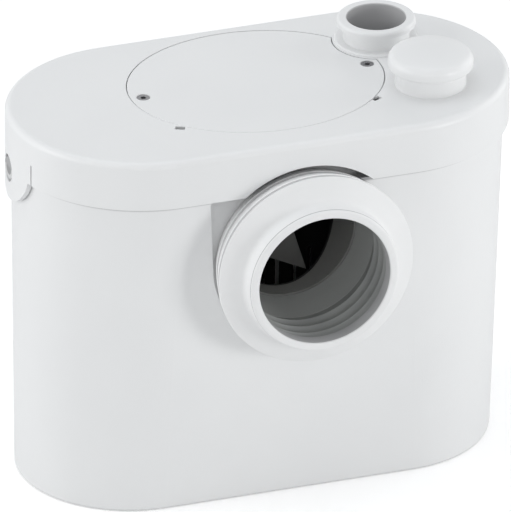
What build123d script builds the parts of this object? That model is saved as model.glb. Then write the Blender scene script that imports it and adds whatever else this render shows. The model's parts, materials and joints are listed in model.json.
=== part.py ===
from build123d import *
import os
from math import asin, atan2, cos, degrees, hypot, radians, sin, sqrt

# Macerator toilet pump, millimetres.
# Long axis along X, pan inlet facing -Y, +Z up, origin on the floor under the middle of the tank.

os.makedirs("parts", exist_ok=True)

# One overrun serves every cut that runs out of its piece.
overrun = 6.0
# Gap between pieces that are pushed together, and between a turning shaft and its bearing.
seat_gap = 0.3
running_gap = 0.05
press_gap = 0.02

# Lid shell
lid_length = 340.0
lid_depth = 177.4
lid_height = 33.8
seam_height = 232.4
lid_wall = 3.2
lid_edge_round = 4.5
skirt_cutout_radius = 68.4

# Snap tongues at the two ends of the lid
tongue_y = 8.5
tongue_half_width = 35.9
tongue_radius = 33.6
tongue_arc_rise = 9.2
tongue_slit_width = 1.3
tongue_slit_height = 14.0
tongue_cut_reach = 20.0
window_radius = 9.4
window_drop = 3.4
peg_radius = 7.6
peg_inset = 0.9

# Tank
tank_clearance = 0.8
tank_wall = 3.0
tank_floor = 3.0
tank_end_taper = 8.1
tank_side_taper = 13.4
tank_base_back_shift = 7.8
tank_base_round = 2.4
gasket_thickness = 2.2

# Pan inlet: axis, sunk pad, frame round the pad, spigot, and the neck inside
inlet_x = 5.8
inlet_drop = 52.3
pad_sink = 7.7
pad_thickness = 4.4
pad_frame = 1.8
pad_half_width = 63.8
pad_half_height = 63.4
pad_pocket_radius = 63.6
pad_pocket_right = 48.0
pad_top_half_width = 68.0
spigot_outer_radius = 58.0
spigot_inner_radius = 54.4
spigot_length = 23.2
neck_wall = 3.0
neck_mouth_radius = 49.9
neck_end_radius = 46.3
neck_funnel_length = 24.4

# Rubber pan sleeve, forward distances measured from the object's middle plane
sleeve_pad_gap = 1.0
sleeve_skirt_length = 24.8
sleeve_rear_radius = 61.0
sleeve_collar_length = 10.4
sleeve_radius = 67.3
sleeve_groove_shares = (0.24, 0.67)
sleeve_groove_width = 3.6
sleeve_groove_depth = 1.9
sleeve_edge_round = 1.4
sleeve_collar_radius = 51.2
sleeve_cone_length = 7.6
sleeve_collar_round = 2.2
sleeve_lip_radius = 45.2
sleeve_lip_length = 9.5
sleeve_inner_radius = 48.2
sleeve_rib_height = 1.7
sleeve_rib_count = 3
sleeve_tube_radius = 53.0

# Access cover and its recess in the lid
cover_x = 0.8
cover_y = 6.4
cover_half_length = 85.8
cover_half_depth = 72.6
cover_thickness = 3.0
cover_gap = 0.6
cover_edge_chamfer = 0.35
cover_rib_height = 2.6
cover_rib_width = 2.0
cover_rib_clearance = 0.8
cover_seal_thickness = 0.9
shelf_width = 8.0
shelf_thickness = 3.0
shelf_wall = 1.6
cover_screw_x_left = -76.6
cover_screw_x_right = 78.7
cover_screw_y = 7.6
cover_screw_radius = 1.9
cover_screw_head_radius = 4.4
cover_screw_length = 15.0
cover_screw_boss_radius = 5.2
cover_screw_boss_height = 14.0
cover_screw_socket_radius = 2.0
cover_screw_socket_depth = 1.7
cover_screw_head_sink = 0.4
notch_offset_x = 67.9
notch_y = -42.1
notch_length = 6.4
notch_width = 4.2
notch_depth = 2.6
notch_angle = 24.0

# Discharge socket on the lid
socket_from_end = 74.1
socket_y = 39.6
socket_bore_radius = 19.5
socket_neck_radius = 22.1
socket_rim_radius = 26.1
socket_rim_height = 5.2
socket_rim_round = 2.2
socket_height = 16.8
socket_flange_radius = 27.8
socket_flange_height = 1.8
socket_tail_length = 26.2
bite_radius = 29.0

# Vent spigot and its mushroom cap
vent_from_end = 61.1
vent_y = -32.0
vent_outer_radius = 23.6
vent_tail_radius = 22.1
vent_bore_radius = 20.5
vent_tail_length = 20.2
vent_height = 14.4
vent_ledge_height = 2.0
vent_ledge_radius = 17.0
vent_brim_radius = 28.2
vent_brim_height = 7.3
vent_brim_under_round = 2.6
vent_brim_top_round = 2.0
vent_dome_rise = 2.7
vent_plug_wall = 2.6
vent_plug_length = 15.0
vent_slot_width = 5.0
vent_slot_height = 6.0
vent_slot_count = 6
vent_filter_height = 7.5

# Dry compartment: well wall of the lid, deck and motor pot below it
shaft_x = inlet_x
shaft_y = 19.0
well_wall = 2.5
well_depth = 26.2
deck_drop = 3.0
deck_thickness = 3.0
deck_ear_radius = 4.8
deck_screw_ring_x = 84.0
deck_screw_ring_y = 71.0
deck_screw_angle = 50.0
deck_screw_radius = 1.9
deck_screw_head_radius = 4.0
deck_screw_head_height = 2.6
deck_screw_length = 16.0
pot_radius = 48.0
pot_wall = 3.0
pot_depth = 50.0
pot_floor = 4.0
hub_radius = 15.0
hub_length = 10.0

# Motor
stator_radius = pot_radius - pot_wall - seat_gap
stator_bore_radius = 25.0
stator_lift = 16.0
stator_height = 32.0
slot_count = 12
slot_width = 5.2
slot_outer_radius = 36.0
winding_gap = 0.35
winding_inner_radius = 27.2
winding_outer_radius = 39.0
winding_lower_height = 9.5
winding_upper_height = 10.5
winding_round = 2.4
rotor_radius = 24.5
cage_radius = 23.6
cage_inner_radius = 15.0
cage_height = 4.0
shaft_radius = 6.0
shaft_end_radius = 5.0
lower_bearing_radius = 14.0
lower_bearing_height = 8.0
lower_bearing_lift = 2.0
lower_boss_radius = 17.5
upper_bearing_radius = 13.0
upper_bearing_height = 8.0
upper_bearing_lift = 9.4
bearing_race_groove = 1.0
bearing_race_radius_share = 0.62
bracket_height = 21.4
bracket_plate = 3.4
bracket_hub_radius = 16.2
bracket_arm_width = 12.0
bracket_leg_ring_radius = 49.6
bracket_leg_radius = 4.6
bracket_leg_count = 3
bracket_screw_radius = 1.7
bracket_screw_head_radius = 3.8
bracket_screw_head_height = 2.2
bracket_screw_length = 13.0
seal_radius = 11.0
seal_height = 7.0

# Guard round the shaft, with two deflector fins
guard_collar_radius = 17.4
guard_collar_gap = 2.0
guard_plate = 2.6
guard_tube_radius = 9.0
guard_tube_bore = 7.2
guard_fin_tip_radius = 34.8
guard_fin_tip_drop = 68.5
guard_fin_root_drop = 55.0
guard_fin_thickness = 2.6

# Pump on the tank floor
casing_foot_height = 11.0
casing_foot_radius = 5.0
casing_foot_ring_radius = 33.0
casing_foot_count = 3
casing_plate = 3.0
casing_wall = 3.0
chamber_radius = 40.0
chamber_height = 22.0
eye_radius = 15.0
casing_boss_ring_radius = 44.0
casing_boss_radius = 5.0
casing_boss_height = 12.0
casing_screw_count = 4
casing_screw_angle = 100.0
casing_screw_radius = 1.9
casing_screw_head_radius = 3.6
casing_screw_length = 11.0
casing_cover_thickness = 3.0
outlet_bore_radius = 9.5
outlet_radius = 12.5
outlet_length = 62.0
impeller_radius = 34.0
impeller_plate = 2.2
impeller_hub_radius = 9.0
impeller_lift = 3.0
impeller_height = 15.6
impeller_vane_count = 5
impeller_vane_thickness = 2.4
impeller_vane_angle = 28.0
spacer_radius = 8.0
nut_radius = 8.0
nut_height = 4.4
shaft_below_nut = 2.0

# Macerating basket and blade
basket_inner_radius = 51.0
basket_wall = 2.4
basket_floor = 3.0
basket_collar_radius = 45.2
basket_collar_wall = 2.4
basket_collar_gap = 0.8
basket_window_half_width = 46.0
basket_window_half_height = 45.4
basket_slot_count = 26
basket_slot_width = 3.6
basket_slot_lift = 13.7
basket_slot_height = 62.0
basket_hole_count = 10
basket_hole_ring_radius = 32.0
basket_hole_radius = 3.2
blade_lift = 8.7
blade_thickness = 3.0
blade_radius = 46.0
blade_arm_width = 17.0
blade_hub_radius = 11.0
blade_hub_below = 4.4
blade_wing_height = 14.0
blade_wing_thickness = 3.0
blade_wing_slope = 6.0

# Riser from the pump to the discharge socket
riser_bore_radius = outlet_radius + seat_gap
riser_wall = 2.5
riser_bend_radius = 24.0
riser_overlap = 14.0
riser_top_gap = 3.0
clip_wall = 1.2
clip_width = 8.0
clip_lug_length = 5.0
clip_lug_width = 8.0

# Non-return valve under the socket
valve_spigot_bore = 10.0
valve_spigot_length = 11.0
valve_floor = 3.0
valve_wall = 2.6
valve_overlap = 11.0
valve_height = 45.0
seat_height = 3.6
seat_hole_radius = 12.0
flap_radius = 15.4
flap_thickness = 2.2
flap_hinge_offset = 18.0
flap_hinge_lift = 2.9
flap_knuckle_radius = 2.4
flap_knuckle_width = 11.0
flap_pin_radius = 1.2
flap_pin_length = 21.0
lug_inner = 6.4
lug_thickness = 3.4
lug_reach = 15.2
lug_height = 4.4

# Level sensing: pressure bell, diaphragm, plunger and switch
bell_x = -57.0
bell_y = -19.0
bell_radius = 13.0
bell_wall = 2.0
bell_floor_gap = 9.0
cup_radius = 17.5
cup_height = 16.0
cup_drop = 20.0
cup_floor = 3.0
cup_bore_radius = 14.0
diaphragm_thickness = 1.2
diaphragm_dome_radius = 7.0
diaphragm_dome_height = 0.8
sensor_cap_bore_radius = 13.0
plunger_radius = 3.0
plunger_foot_radius = 9.0
plunger_foot_height = 1.6
plunger_reach = 6.2
plunger_travel = 1.5
sensor_cap_bore_height = diaphragm_dome_height + plunger_foot_height + 2 * plunger_travel + seat_gap
lever_thickness = 0.8
lever_length = 17.0
lever_width = 5.0
lever_arm = 8.0
lever_knuckle_radius = 1.5
lever_pin_radius = 0.8
switch_length = 18.0
switch_width = 8.4
switch_lift = 11.4
switch_height = 9.6
switch_cheek = 1.0
switch_cheek_length = 4.0
button_arm = 10.0
button_radius = 1.1
button_depth = 3.0
button_gap = 0.4
switch_bracket_thickness = 2.0
switch_bracket_foot = 8.0

# Electrical pieces in the dry compartment
capacitor_x = -58.0
capacitor_front = -5.0
capacitor_length = 36.0
capacitor_radius = 10.0
capacitor_lift = 12.4
capacitor_round = 1.0
saddle_width = 16.0
saddle_length = 12.0
saddle_height = 8.0
terminal_x = 64.0
terminal_y = -4.0
terminal_width = 12.0
terminal_length = 24.0
terminal_way_rise_share = 0.333
terminal_height = 13.0
terminal_ways = 4
terminal_screw_radius = 1.9
terminal_screw_depth = 4.0
terminal_wire_radius = 1.5

# Cable gland in the back of the lid
gland_x = 32.0
gland_drop = 17.7
gland_thread_radius = 6.0
gland_boss_radius = 8.4
gland_boss_front = 60.0
gland_bore_radius = 4.6
gland_thread_length = 17.0
gland_hex_radius = 9.0
gland_hex_height = 4.5
gland_nut_radius = 8.4
gland_nut_tip_radius = 6.4
gland_nut_height = 10.0
gland_seal_bore = 3.75
gland_seal_wall = 0.6

# Places worked out from the sizes above
lid_top = seam_height + lid_height
roof_under = lid_top - lid_wall
rim_top = roof_under - gasket_thickness - seat_gap
tank_top_length = lid_length - 2 * (lid_wall + tank_clearance)
tank_top_depth = lid_depth - 2 * (lid_wall + tank_clearance)
tongue_arc_z = seam_height + tongue_arc_rise
window_z = seam_height - window_drop
tank_base_length = lid_length - 2 * tank_end_taper
tank_base_depth = lid_depth - 2 * tank_side_taper
inlet_z = seam_height - inlet_drop
pad_front = tank_top_depth / 2 - pad_sink
pad_pocket_top = inlet_z + skirt_cutout_radius
spigot_front = pad_front + spigot_length
neck_shoulder = pad_front - pad_thickness
neck_end = neck_shoulder - neck_funnel_length
sleeve_rear = pad_front + sleeve_pad_gap
sleeve_flange_front = sleeve_rear + sleeve_skirt_length
sleeve_collar_base = sleeve_flange_front + sleeve_cone_length
sleeve_rim_front = sleeve_collar_base + sleeve_collar_length
sleeve_skirt_inner_radius = spigot_outer_radius + seat_gap
cover_bottom = lid_top - cover_thickness
shelf_top = cover_bottom - seat_gap - cover_seal_thickness
socket_x = lid_length / 2 - socket_from_end
socket_top = lid_top + socket_height
socket_tail_bottom = lid_top - socket_tail_length
vent_x = lid_length / 2 - vent_from_end
vent_tail_bottom = lid_top - vent_tail_length
vent_top = lid_top + vent_height
well_bottom = lid_top - well_depth
deck_top = well_bottom - deck_drop
deck_bottom = deck_top - deck_thickness
pot_bottom = deck_bottom - pot_depth
stator_bottom = pot_bottom + stator_lift
lower_bearing_z = pot_bottom + lower_bearing_lift
upper_bearing_z = deck_top + upper_bearing_lift
bracket_top = deck_top + bracket_height
seal_bottom = pot_bottom - hub_length + seat_gap
guard_collar_top = pot_bottom - guard_collar_gap
guard_fin_tip_z = pot_bottom - guard_fin_tip_drop
guard_fin_root_z = pot_bottom - guard_fin_root_drop
casing_bottom = tank_floor + casing_foot_height
casing_top = casing_bottom + casing_plate + chamber_height
impeller_bottom = casing_bottom + casing_plate + impeller_lift
impeller_top = impeller_bottom + impeller_height
shaft_bottom = impeller_bottom - nut_height - shaft_below_nut
basket_bottom = casing_top + casing_cover_thickness + seat_gap
basket_top = deck_bottom - seat_gap
basket_slot_bottom = basket_bottom + basket_slot_lift
blade_z = basket_bottom + blade_lift
valve_top = socket_tail_bottom + valve_overlap
valve_bottom = valve_top - valve_height
riser_top = valve_bottom - riser_top_gap
valve_bore_radius = socket_neck_radius + seat_gap
bell_bottom = tank_floor + bell_floor_gap
cup_top = deck_bottom - cup_drop
cup_bottom = cup_top - cup_height
sensor_cap_bottom = cup_top + diaphragm_thickness + seat_gap
plunger_tip = deck_top + plunger_reach
switch_bottom = deck_top + switch_lift
capacitor_z = deck_top + capacitor_lift
saddle_top = deck_top + saddle_height
gland_z = lid_top - gland_drop
lid_back = lid_depth / 2
lid_half_length = lid_length / 2
basket_outer_radius = basket_inner_radius + basket_wall
tongue_bottom = tongue_arc_z - tongue_radius
stator_top = stator_bottom + stator_height
blade_hub_bottom = blade_z - blade_hub_below
blade_top = blade_z + blade_thickness
flap_bottom = valve_bottom + valve_floor + seat_gap + seat_height + seat_gap
flap_hinge_z = flap_bottom + flap_hinge_lift
lever_bottom = plunger_tip + seat_gap
lever_pivot_x = bell_x - lever_arm
lever_pivot_z = lever_bottom + lever_thickness / 2

inlet_axis = Axis((inlet_x, 0, inlet_z), (0, 1, 0))
shaft_axis = Axis((shaft_x, shaft_y, 0), (0, 0, 1))
socket_axis = Axis((socket_x, socket_y, 0), (0, 0, 1))
vent_axis = Axis((vent_x, vent_y, 0), (0, 0, 1))
# Half section through the inlet: first value is the radius, second the distance forward.
inlet_section = Plane((inlet_x, 0, inlet_z), x_dir=(0, 0, 1), z_dir=(1, 0, 0))
# Half sections through the upright axes: first value is the radius, second the height.
shaft_section = Plane((shaft_x, shaft_y, 0), x_dir=(1, 0, 0), z_dir=(0, -1, 0))
socket_section = Plane((socket_x, socket_y, 0), x_dir=(1, 0, 0), z_dir=(0, -1, 0))
vent_section = Plane((vent_x, vent_y, 0), x_dir=(1, 0, 0), z_dir=(0, -1, 0))


def outline(plane, points):
    """A flat face inside a closed line of straight runs."""
    with BuildSketch(plane) as drawn:
        with BuildLine():
            Polyline(*points, close=True)
        make_face()
    return drawn.sketch


def ring(plane, outer_radius, inner_radius):
    """A flat ring round the plane's own origin."""
    with BuildSketch(plane) as drawn:
        Circle(outer_radius)
        Circle(inner_radius, mode=Mode.SUBTRACT)
    return drawn.sketch


def cover_oval(height, half_length, half_depth, bite):
    """The access cover's oval with the round bite that clears the discharge socket."""
    with BuildSketch(Plane.XY.offset(height)) as drawn:
        with Locations((cover_x, cover_y)):
            Ellipse(half_length, half_depth)
        with Locations((socket_x, socket_y)):
            Circle(bite, mode=Mode.SUBTRACT)
    return drawn.sketch


def upright(x, y, height):
    """A level plane at a height, with its origin over a place on the floor."""
    return Plane((x, y, height), x_dir=(1, 0, 0), z_dir=(0, 0, 1))


# Cover-screw places and deck-screw places
cover_screw_places = [(cover_screw_x_left, cover_screw_y), (cover_screw_x_right, cover_screw_y)]
deck_screw_places = []
for side_x, side_y in ((1, 1), (-1, 1), (-1, -1), (1, -1)):
    reach_x = side_x * deck_screw_ring_x * cos(radians(deck_screw_angle))
    reach_y = side_y * deck_screw_ring_y * sin(radians(deck_screw_angle))
    deck_screw_places.append((cover_x + reach_x, cover_y + reach_y))

# Direction of the pump's outlet: a line tangent to the chamber that meets the riser's axis
outlet_offset = chamber_radius - outlet_bore_radius
riser_distance = hypot(socket_x - shaft_x, socket_y - shaft_y)
outlet_angle = degrees(atan2(socket_y - shaft_y, socket_x - shaft_x) - asin(outlet_offset / riser_distance))
outlet_run = sqrt(riser_distance**2 - outlet_offset**2)
outlet_dir = (cos(radians(outlet_angle)), sin(radians(outlet_angle)), 0)
outlet_z = casing_bottom + casing_plate + chamber_height / 2
outlet_start = (
    shaft_x - outlet_offset * outlet_dir[1],
    shaft_y + outlet_offset * outlet_dir[0],
    outlet_z,
)


def along_outlet(distance):
    """A point on the pump outlet's axis, at a distance from its tangent point."""
    return (
        outlet_start[0] + distance * outlet_dir[0],
        outlet_start[1] + distance * outlet_dir[1],
        outlet_z,
    )


def across_outlet(distance):
    """The plane square to the pump outlet at a distance along it."""
    return Plane(along_outlet(distance), x_dir=(-outlet_dir[1], outlet_dir[0], 0), z_dir=outlet_dir)


def tank_slot(height, length, depth, back_shift):
    """A level outline of the tank: straight sides and round ends."""
    with BuildSketch(Plane.XY.offset(height)) as drawn:
        with Locations((0, back_shift)):
            SlotOverall(length, depth)
    return drawn.sketch


def pad_outline(distance, grow, top):
    """The sunk pad's outline at a distance forward: round below, spreading upwards, grown to both sides."""
    spread = (pad_top_half_width - pad_half_width) / (rim_top - inlet_z)
    half_width = pad_half_width + grow
    top_half_width = half_width + spread * (top - inlet_z)
    with BuildSketch(Plane.XZ.offset(distance)) as drawn:
        with Locations((inlet_x, inlet_z)):
            Ellipse(half_width, pad_half_height + grow)
        with BuildLine():
            Polyline(
                (inlet_x - half_width, inlet_z),
                (inlet_x + half_width, inlet_z),
                (inlet_x + top_half_width, top),
                (inlet_x - top_half_width, top),
                close=True,
            )
        make_face()
    return drawn.sketch


tank_base_slot = tank_slot(0, tank_base_length, tank_base_depth, tank_base_back_shift)
tank_top_slot = tank_slot(seam_height, tank_top_length, tank_top_depth, 0)

# Tank: tapered shell, vertical rim inside the lid, notch for the inlet piece
with BuildPart() as tank:
    loft((tank_base_slot, tank_top_slot))
    fillet(tank.edges().group_by(Axis.Z)[0], tank_base_round)
    extrude(tank_top_slot, amount=rim_top - seam_height)
    # Pegs that the lid's tongues snap over
    with BuildSketch(Plane.YZ):
        with Locations((tongue_y, window_z)):
            Circle(peg_radius)
    extrude(amount=lid_half_length - peg_inset, both=True)
    # Inside of the shell
    with BuildSketch(Plane.XY.offset(tank_floor)):
        with Locations((0, tank_base_back_shift)):
            SlotOverall(tank_base_length - 2 * tank_wall, tank_base_depth - 2 * tank_wall)
    with BuildSketch(Plane.XY.offset(seam_height)):
        SlotOverall(tank_top_length - 2 * tank_wall, tank_top_depth - 2 * tank_wall)
    loft(mode=Mode.SUBTRACT)
    with BuildSketch(Plane.XY.offset(seam_height)):
        SlotOverall(tank_top_length - 2 * tank_wall, tank_top_depth - 2 * tank_wall)
    extrude(amount=rim_top - seam_height, mode=Mode.SUBTRACT)
    # Notch in the front wall, open at the top, for the inlet piece
    notch = pad_outline(neck_end, pad_frame + press_gap, rim_top + overrun)
    extrude(notch, amount=lid_depth, mode=Mode.SUBTRACT)
    # Notch in the rim for the lid's cable conduit
    with BuildSketch(Plane.XZ.offset(-gland_boss_front)):
        with Locations((gland_x, gland_z)):
            Circle(gland_boss_radius + seat_gap)
        with Locations((gland_x, gland_z + gland_boss_radius)):
            Rectangle(2 * (gland_boss_radius + seat_gap), 2 * gland_boss_radius)
    extrude(amount=gland_boss_front - lid_depth, mode=Mode.SUBTRACT)
tank.part.label = "tank"
export_step(tank.part, "parts/tank.step")

# Inlet piece in the tank's notch: sunk pad in a frame, spigot for the sleeve, neck to the basket
with BuildPart() as inlet_neck:
    loft((tank_base_slot, tank_top_slot))
    extrude(tank_top_slot, amount=rim_top - seam_height)
    extrude(pad_outline(neck_shoulder, pad_frame, rim_top), amount=lid_depth, mode=Mode.INTERSECT)
    # Round pocket, with a corner beside it on the left and open behind the lid's cut-out
    with BuildSketch(Plane.XZ.offset(pad_front)):
        with Locations((inlet_x, inlet_z)):
            Circle(pad_pocket_radius)
        with BuildLine():
            Polyline(
                (inlet_x, inlet_z),
                (inlet_x, seam_height),
                (inlet_x + pad_pocket_right, seam_height),
                (inlet_x + pad_pocket_right, pad_pocket_top),
                (inlet_x - pad_top_half_width, pad_pocket_top),
                (inlet_x - pad_half_width, inlet_z),
                close=True,
            )
        make_face()
    extrude(amount=lid_depth, mode=Mode.SUBTRACT)
    # Thin rim above the pocket
    with BuildSketch(Plane.XZ.offset(neck_shoulder - overrun)):
        with Locations((inlet_x, pad_pocket_top + pad_frame + lid_height)):
            Rectangle(lid_length, 2 * lid_height)
    extrude(amount=overrun + tank_top_depth / 2 - tank_wall - neck_shoulder, mode=Mode.SUBTRACT)
    with BuildSketch(Plane.XZ.offset(neck_shoulder)):
        with Locations((inlet_x, inlet_z)):
            Circle(spigot_outer_radius)
    extrude(amount=spigot_front - neck_shoulder)
    funnel_points = [
        (neck_mouth_radius, neck_shoulder),
        (spigot_inner_radius + neck_wall, neck_shoulder),
        (spigot_inner_radius + neck_wall, neck_shoulder - neck_wall),
        (neck_mouth_radius + neck_wall, neck_shoulder - neck_wall),
        (neck_end_radius + neck_wall, neck_end),
        (neck_end_radius, neck_end),
    ]
    revolve(outline(inlet_section, funnel_points), axis=inlet_axis)
    with BuildSketch(Plane.XZ.offset(neck_shoulder)):
        with Locations((inlet_x, inlet_z)):
            Circle(spigot_inner_radius)
    extrude(amount=spigot_front, mode=Mode.SUBTRACT)
inlet_neck.part.label = "inlet_neck"
export_step(inlet_neck.part, "parts/inlet_neck.step")

# Rubber ring between the tank's rim and the lid
with BuildPart() as lid_gasket:
    with BuildSketch(Plane.XY.offset(rim_top)):
        SlotOverall(tank_top_length, tank_top_depth)
        SlotOverall(tank_top_length - 2 * tank_wall, tank_top_depth - 2 * tank_wall, mode=Mode.SUBTRACT)
    extrude(amount=gasket_thickness)
lid_gasket.part.label = "lid_gasket"
export_step(lid_gasket.part, "parts/lid_gasket.step")

# The two tongues that hang from the skirt, one at each end of the lid
with BuildPart() as tongues:
    with BuildSketch(Plane.XY.offset(tongue_bottom)):
        SlotOverall(lid_length, lid_depth)
        SlotOverall(lid_length - 2 * lid_wall, lid_depth - 2 * lid_wall, mode=Mode.SUBTRACT)
    extrude(amount=seam_height - tongue_bottom)
    with BuildSketch(Plane.YZ):
        with Locations((tongue_y, tongue_arc_z)):
            Circle(tongue_radius)
    extrude(amount=lid_length, both=True, mode=Mode.INTERSECT)

# Lid: roof and skirt, recess and well for the dry compartment, bosses and openings
with BuildPart() as lid:
    with BuildSketch(Plane.XY.offset(seam_height)):
        SlotOverall(lid_length, lid_depth)
    extrude(amount=lid_top - seam_height)
    fillet(lid.edges().group_by(Axis.Z)[-1], lid_edge_round)
    with BuildSketch(Plane.XY.offset(seam_height)):
        SlotOverall(lid_length - 2 * lid_wall, lid_depth - 2 * lid_wall)
    extrude(amount=roof_under - seam_height, mode=Mode.SUBTRACT)
    add(tongues.part)
    # Shelf under the cover and well wall below it
    shelf_bottom = shelf_top - shelf_thickness
    shelf_half_length = cover_half_length + cover_gap + shelf_wall
    shelf_half_depth = cover_half_depth + cover_gap + shelf_wall
    extrude(
        cover_oval(shelf_bottom, shelf_half_length, shelf_half_depth, bite_radius - shelf_wall),
        amount=lid_top - lid_edge_round / 2 - shelf_bottom,
    )
    well_half_length = cover_half_length - shelf_width
    well_half_depth = cover_half_depth - shelf_width
    well_bite = bite_radius + shelf_width
    extrude(
        cover_oval(
            well_bottom,
            well_half_length + well_wall,
            well_half_depth + well_wall,
            well_bite - well_wall,
        ),
        amount=shelf_top - well_bottom,
    )
    extrude(
        cover_oval(shelf_top, cover_half_length + cover_gap, cover_half_depth + cover_gap, bite_radius),
        amount=lid_top,
        mode=Mode.SUBTRACT,
    )
    # Conduit for the mains cable, from the back of the skirt into the well
    with BuildSketch(Plane.XZ.offset(-lid_back + lid_wall / 2)):
        with Locations((gland_x, gland_z)):
            Circle(gland_boss_radius)
    extrude(amount=lid_back - gland_boss_front)
    extrude(
        cover_oval(well_bottom - overrun, well_half_length, well_half_depth, well_bite),
        amount=lid_top,
        mode=Mode.SUBTRACT,
    )
    # Bosses for the cover screws and the deck screws
    with BuildSketch(Plane.XY.offset(shelf_top - cover_screw_boss_height)):
        with Locations(*cover_screw_places):
            Circle(cover_screw_boss_radius)
    extrude(amount=cover_screw_boss_height)
    with BuildSketch(Plane.XY.offset(deck_top + seat_gap)):
        with Locations(*deck_screw_places):
            Circle(deck_ear_radius)
    extrude(amount=shelf_bottom + shelf_thickness / 2 - deck_top - seat_gap)
    with BuildSketch(Plane.XY.offset(deck_top - overrun)):
        with Locations(*deck_screw_places):
            Circle(deck_screw_radius + seat_gap)
    extrude(amount=overrun + deck_screw_length, mode=Mode.SUBTRACT)
    with BuildSketch(Plane.XY.offset(shelf_top - cover_screw_length)):
        with Locations(*cover_screw_places):
            Circle(cover_screw_radius + seat_gap)
    extrude(amount=lid_top, mode=Mode.SUBTRACT)
    # Openings for the discharge socket, the vent, the gland and the snap pegs
    with BuildSketch(Plane.XY.offset(well_bottom)):
        with Locations((socket_x, socket_y)):
            Circle(socket_neck_radius + seat_gap)
        with Locations((vent_x, vent_y)):
            Circle(vent_tail_radius + seat_gap)
    extrude(amount=lid_top, mode=Mode.SUBTRACT)
    with BuildSketch(Plane.XZ.offset(-lid_back - overrun)):
        with Locations((gland_x, gland_z)):
            Circle(gland_thread_radius + seat_gap)
    extrude(amount=lid_back + overrun - gland_boss_front, mode=Mode.SUBTRACT)
    for side in (-1, 1):
        with BuildSketch(Plane.YZ.offset(side * lid_half_length)):
            with Locations((tongue_y, window_z)):
                Circle(window_radius)
            for edge_y in (tongue_y - tongue_half_width, tongue_y + tongue_half_width):
                with Locations((edge_y, seam_height + tongue_slit_height / 2)):
                    Rectangle(tongue_slit_width, tongue_slit_height + tongue_slit_width)
        extrude(amount=-side * tongue_cut_reach, mode=Mode.SUBTRACT)
    # Round cut-out of the skirt over the sleeve
    with BuildSketch(Plane.XZ.offset(tank_top_depth / 2)):
        with Locations((inlet_x, inlet_z)):
            Circle(skirt_cutout_radius)
    extrude(amount=lid_depth, mode=Mode.SUBTRACT)
    # Two pry notches beside the cover
    for side, angle in ((-1, -notch_angle), (1, notch_angle)):
        with BuildSketch(Plane.XY.offset(lid_top - notch_depth)):
            with Locations(Location((side * notch_offset_x, notch_y, 0), (0, 0, angle))):
                Rectangle(notch_length, notch_width)
        extrude(amount=lid_top, mode=Mode.SUBTRACT)
lid.part.label = "lid"
export_step(lid.part, "parts/lid.step")

# Oval access cover, flush in the lid, with a locating rib below
with BuildPart() as access_cover:
    extrude(
        cover_oval(cover_bottom, cover_half_length, cover_half_depth, bite_radius + cover_gap),
        amount=cover_thickness,
    )
    chamfer(access_cover.edges().group_by(Axis.Z)[-1], cover_edge_chamfer)
    rib_half_length = well_half_length - cover_rib_clearance
    rib_half_depth = well_half_depth - cover_rib_clearance
    rib_bite = well_bite + cover_rib_clearance
    extrude(
        cover_oval(cover_bottom - cover_rib_height, rib_half_length, rib_half_depth, rib_bite),
        amount=cover_rib_height,
    )
    extrude(
        cover_oval(
            cover_bottom - cover_rib_height,
            rib_half_length - cover_rib_width,
            rib_half_depth - cover_rib_width,
            rib_bite + cover_rib_width,
        ),
        amount=cover_rib_height,
        mode=Mode.SUBTRACT,
    )
    # Room round the screw bosses, then the countersunk holes
    with BuildSketch(Plane.XY.offset(cover_bottom - cover_rib_height)):
        with Locations(*cover_screw_places):
            Circle(cover_screw_boss_radius + cover_rib_clearance)
    extrude(amount=cover_rib_height, mode=Mode.SUBTRACT)
    for place in cover_screw_places:
        with Locations(Location((place[0], place[1], lid_top - cover_screw_head_sink))):
            CounterSinkHole(
                cover_screw_radius + seat_gap,
                cover_screw_head_radius + seat_gap,
                depth=cover_thickness + overrun,
            )
access_cover.part.label = "access_cover"
export_step(access_cover.part, "parts/access_cover.step")

# Flat rubber seal on the shelf
with BuildPart() as cover_seal:
    extrude(
        cover_oval(shelf_top, cover_half_length, cover_half_depth, bite_radius + cover_gap),
        amount=cover_seal_thickness,
    )
    extrude(
        cover_oval(shelf_top, well_half_length, well_half_depth, well_bite),
        amount=cover_seal_thickness,
        mode=Mode.SUBTRACT,
    )
    with BuildSketch(Plane.XY.offset(shelf_top)):
        with Locations(*cover_screw_places):
            Circle(cover_screw_radius + 2 * seat_gap)
    extrude(amount=cover_seal_thickness, mode=Mode.SUBTRACT)
cover_seal.part.label = "cover_seal"
export_step(cover_seal.part, "parts/cover_seal.step")

# Two countersunk screws with a hexagon socket
with BuildPart() as cover_screws:
    head_top = lid_top - cover_screw_head_sink
    for place in cover_screw_places:
        screw_section = Plane((place[0], place[1], 0), x_dir=(1, 0, 0), z_dir=(0, -1, 0))
        screw_points = [
            (0, head_top),
            (cover_screw_head_radius, head_top),
            (cover_screw_radius, head_top - cover_screw_head_radius + cover_screw_radius),
            (cover_screw_radius, head_top - cover_screw_length + cover_screw_radius),
            (0, head_top - cover_screw_length + seat_gap),
        ]
        revolve(outline(screw_section, screw_points), axis=Axis((place[0], place[1], 0), (0, 0, 1)))
    with BuildSketch(Plane.XY.offset(head_top - cover_screw_socket_depth)):
        with Locations(*cover_screw_places):
            RegularPolygon(cover_screw_socket_radius, 6)
    extrude(amount=overrun, mode=Mode.SUBTRACT)
cover_screws.part.label = "cover_screws"
export_step(cover_screws.part, "parts/cover_screws.step")

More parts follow.
